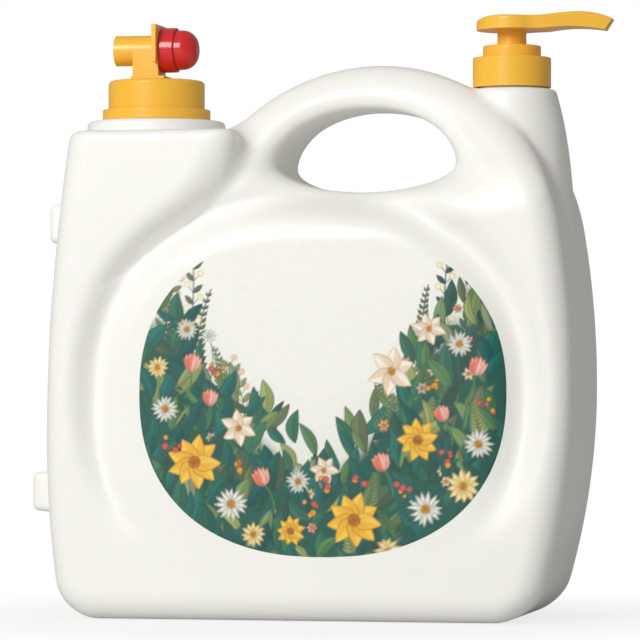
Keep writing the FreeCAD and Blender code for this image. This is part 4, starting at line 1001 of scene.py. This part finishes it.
def printed_film():
    """Gloss film whose print is a colour on its points, with a faint mottling."""
    material, shader = principled("label_film", color=(0.9, 0.9, 0.88), roughness=0.3)
    ink = add_node(material, "ShaderNodeVertexColor", layer_name="print")
    mottle = spread(material, object_noise(material, scale=260, detail=3), low=0.97, high=1.0)
    blend = add_node(material, "ShaderNodeMix", data_type="RGBA", blend_type="MULTIPLY")
    blend.inputs["Factor"].default_value = 1
    link(material, ink.outputs["Color"], blend.inputs["A"])
    link(material, mottle, blend.inputs["B"])
    link(material, blend.outputs["Result"], shader.inputs["Base Color"])
    gloss = spread(material, object_noise(material, scale=90, detail=3), low=0.27, high=0.36)
    link(material, gloss, shader.inputs["Roughness"])
    return material


HALVINGS = 16


def front_depth(x, z):
    """Depth of the bottle's front, by halving between a place inside and one outside."""
    inside = np.zeros_like(x) + GRIP
    outside = np.zeros_like(x) + HALF_DEPTH + FILM
    for _ in range(HALVINGS):
        middle = (inside + outside) / 2
        within = bottle_field(x, -middle, z) < 0
        inside = np.where(within, middle, inside)
        outside = np.where(within, outside, middle)
    return outside


def build_label(film):
    """The film on the front panel."""
    x = LABEL_X + across / 1000
    z = LABEL_Z + upward / 1000
    points = np.stack([x, -front_depth(x, z) - FILM, z], axis=-1).reshape(-1, 3)
    first = (np.arange(ROWS - 1)[:, None] * COLUMNS + np.arange(COLUMNS - 1)).ravel()
    faces = np.stack([first, first + 1, first + 1 + COLUMNS, first + COLUMNS], axis=1)
    label = mesh_object("printed_label", points, faces, film)
    layer = label.data.color_attributes.new("print", "FLOAT_COLOR", "POINT")
    shades = np.concatenate([np.clip(canvas, 0, 1), np.ones((ROWS, COLUMNS, 1))], axis=-1)
    layer.data.foreach_set("color", shades.ravel())
    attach(label, "bottle")
    return label


paint_label()
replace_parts(build_label(printed_film()), "front_label")


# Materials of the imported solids

FINISHES = {
    "white_hdpe": WHITE,
    "yellow_pp": YELLOW,
    "red_pp": RED,
    "natural_pp": NATURAL,
    "seal_rubber": RUBBER,
    "spring_steel": STEEL,
    "foam_washer": FOAM,
    "ball_glass": GLASS,
    "label_film": WHITE,
}
SLOTS = {row["node"]: row["material_slot"] for row in frame["record"]["subparts"]}
for node, obj in frame["nodes"].items():
    for place in obj.material_slots:
        place.material = FINISHES[SLOTS[node]]

# Moulded edges of the closures are a little rounded
SOFTENED = ("tap_cap", "tap_body", "button_collar", "pump_collar", "lock_ring", "pump_head")
EDGE_WIDTH = 0.0003
EDGE_ANGLE = radians(50)
for node in SOFTENED:
    soften = frame["nodes"][node].modifiers.new("moulded_edges", "BEVEL")
    soften.width = EDGE_WIDTH
    soften.segments = 2
    soften.limit_method = "ANGLE"
    soften.angle_limit = EDGE_ANGLE


# Stage, light and camera

YAW = radians(12)
DISTANCE = 2.1
EYE = 0.126
AIM = Vector((-0.0016, 0, 0.1594))
LENS = 219
SENSOR = 36
KEY_PLACE = (-1.0, -2.75, 1.6)
KEY_AIM = Vector((0, 0, 0.15))
KEY_SIZE = 1.3
KEY_POWER = 71
KEY_COLOR = (1, 0.99, 0.965)
ROOM_COLOR = (1, 0.985, 0.94, 1)
ROOM_STRENGTH = 0.33
FLOOR_TONE = 0.7
FLOOR_REACH = 6
FLOOR_DROP = 0.0005
SHADOW_NEAR = 0.1
SHADOW_FAR = 0.3
SHADOW_WHITE = 0.8


def set_camera():
    """The photograph's view: a long lens a little to the right of the front."""
    data = bpy.data.cameras.new("camera")
    data.lens = LENS
    data.sensor_width = SENSOR
    camera = bpy.data.objects.new("camera", data)
    camera.location = (DISTANCE * sin(YAW), -DISTANCE * cos(YAW), EYE)
    camera.rotation_euler = (AIM - camera.location).to_track_quat("-Z", "Y").to_euler()
    bpy.context.scene.collection.objects.link(camera)
    bpy.context.scene.camera = camera


def key_lamp():
    """A square softbox at the left front that faces the bottle."""
    data = bpy.data.lights.new("key", "AREA")
    data.size = KEY_SIZE
    data.energy = KEY_POWER
    data.color = KEY_COLOR
    lamp = bpy.data.objects.new("key", data)
    lamp.location = KEY_PLACE
    lamp.rotation_euler = (KEY_AIM - lamp.location).to_track_quat("-Z", "Y").to_euler()
    bpy.context.scene.collection.objects.link(lamp)


def plain_world():
    """An even pale room for the light, and a white backdrop where the camera sees past the bottle."""
    world = bpy.data.worlds.new("room")
    bpy.context.scene.world = world
    world.use_nodes = True
    nodes = world.node_tree.nodes
    links = world.node_tree.links
    room = nodes["Background"]
    room.inputs["Color"].default_value = ROOM_COLOR
    room.inputs["Strength"].default_value = ROOM_STRENGTH
    backdrop = nodes.new("ShaderNodeBackground")
    backdrop.inputs["Color"].default_value = (1, 1, 1, 1)
    path = nodes.new("ShaderNodeLightPath")
    seen = nodes.new("ShaderNodeMath")
    seen.operation = "MAXIMUM"
    links.new(path.outputs["Is Camera Ray"], seen.inputs[0])
    links.new(path.outputs["Is Transmission Ray"], seen.inputs[1])
    mixed = nodes.new("ShaderNodeMixShader")
    links.new(seen.outputs[0], mixed.inputs["Fac"])
    links.new(room.outputs[0], mixed.inputs[1])
    links.new(backdrop.outputs[0], mixed.inputs[2])
    links.new(mixed.outputs[0], nodes["World Output"].inputs["Surface"])


def pale_floor():
    """A pale floor with a faint shadow near the bottle, which runs out to white."""
    material, shader = principled("floor", color=(FLOOR_TONE, FLOOR_TONE, FLOOR_TONE), roughness=0.9)
    nodes = material.node_tree.nodes
    place = add_node(material, "ShaderNodeTexCoord")
    length = add_node(material, "ShaderNodeVectorMath", operation="LENGTH")
    link(material, place.outputs["Object"], length.inputs[0])
    spot = add_node(material, "ShaderNodeMapRange", interpolation_type="SMOOTHSTEP")
    spot.inputs["From Min"].default_value = SHADOW_NEAR
    spot.inputs["From Max"].default_value = SHADOW_FAR
    spot.inputs["To Min"].default_value = SHADOW_WHITE
    link(material, length.outputs["Value"], spot.inputs["Value"])
    path = add_node(material, "ShaderNodeLightPath")
    far = add_node(material, "ShaderNodeMath", operation="MULTIPLY")
    link(material, spot.outputs["Result"], far.inputs[0])
    link(material, path.outputs["Is Camera Ray"], far.inputs[1])
    glow = add_node(material, "ShaderNodeEmission")
    mixed = add_node(material, "ShaderNodeMixShader")
    link(material, far.outputs[0], mixed.inputs["Fac"])
    link(material, shader.outputs[0], mixed.inputs[1])
    link(material, glow.outputs[0], mixed.inputs[2])
    link(material, mixed.outputs[0], nodes["Material Output"].inputs["Surface"])
    corners = [(FLOOR_REACH * x, FLOOR_REACH * y, 0) for x, y in ((-1, -1), (1, -1), (1, 1), (-1, 1))]
    floor = mesh_object("floor", corners, [(0, 1, 2, 3)], material, smooth=False)
    floor.location.z = -FLOOR_DROP


bpy.context.scene.view_settings.view_transform = "Standard"
set_camera()
plain_world()
pale_floor()
key_lamp()
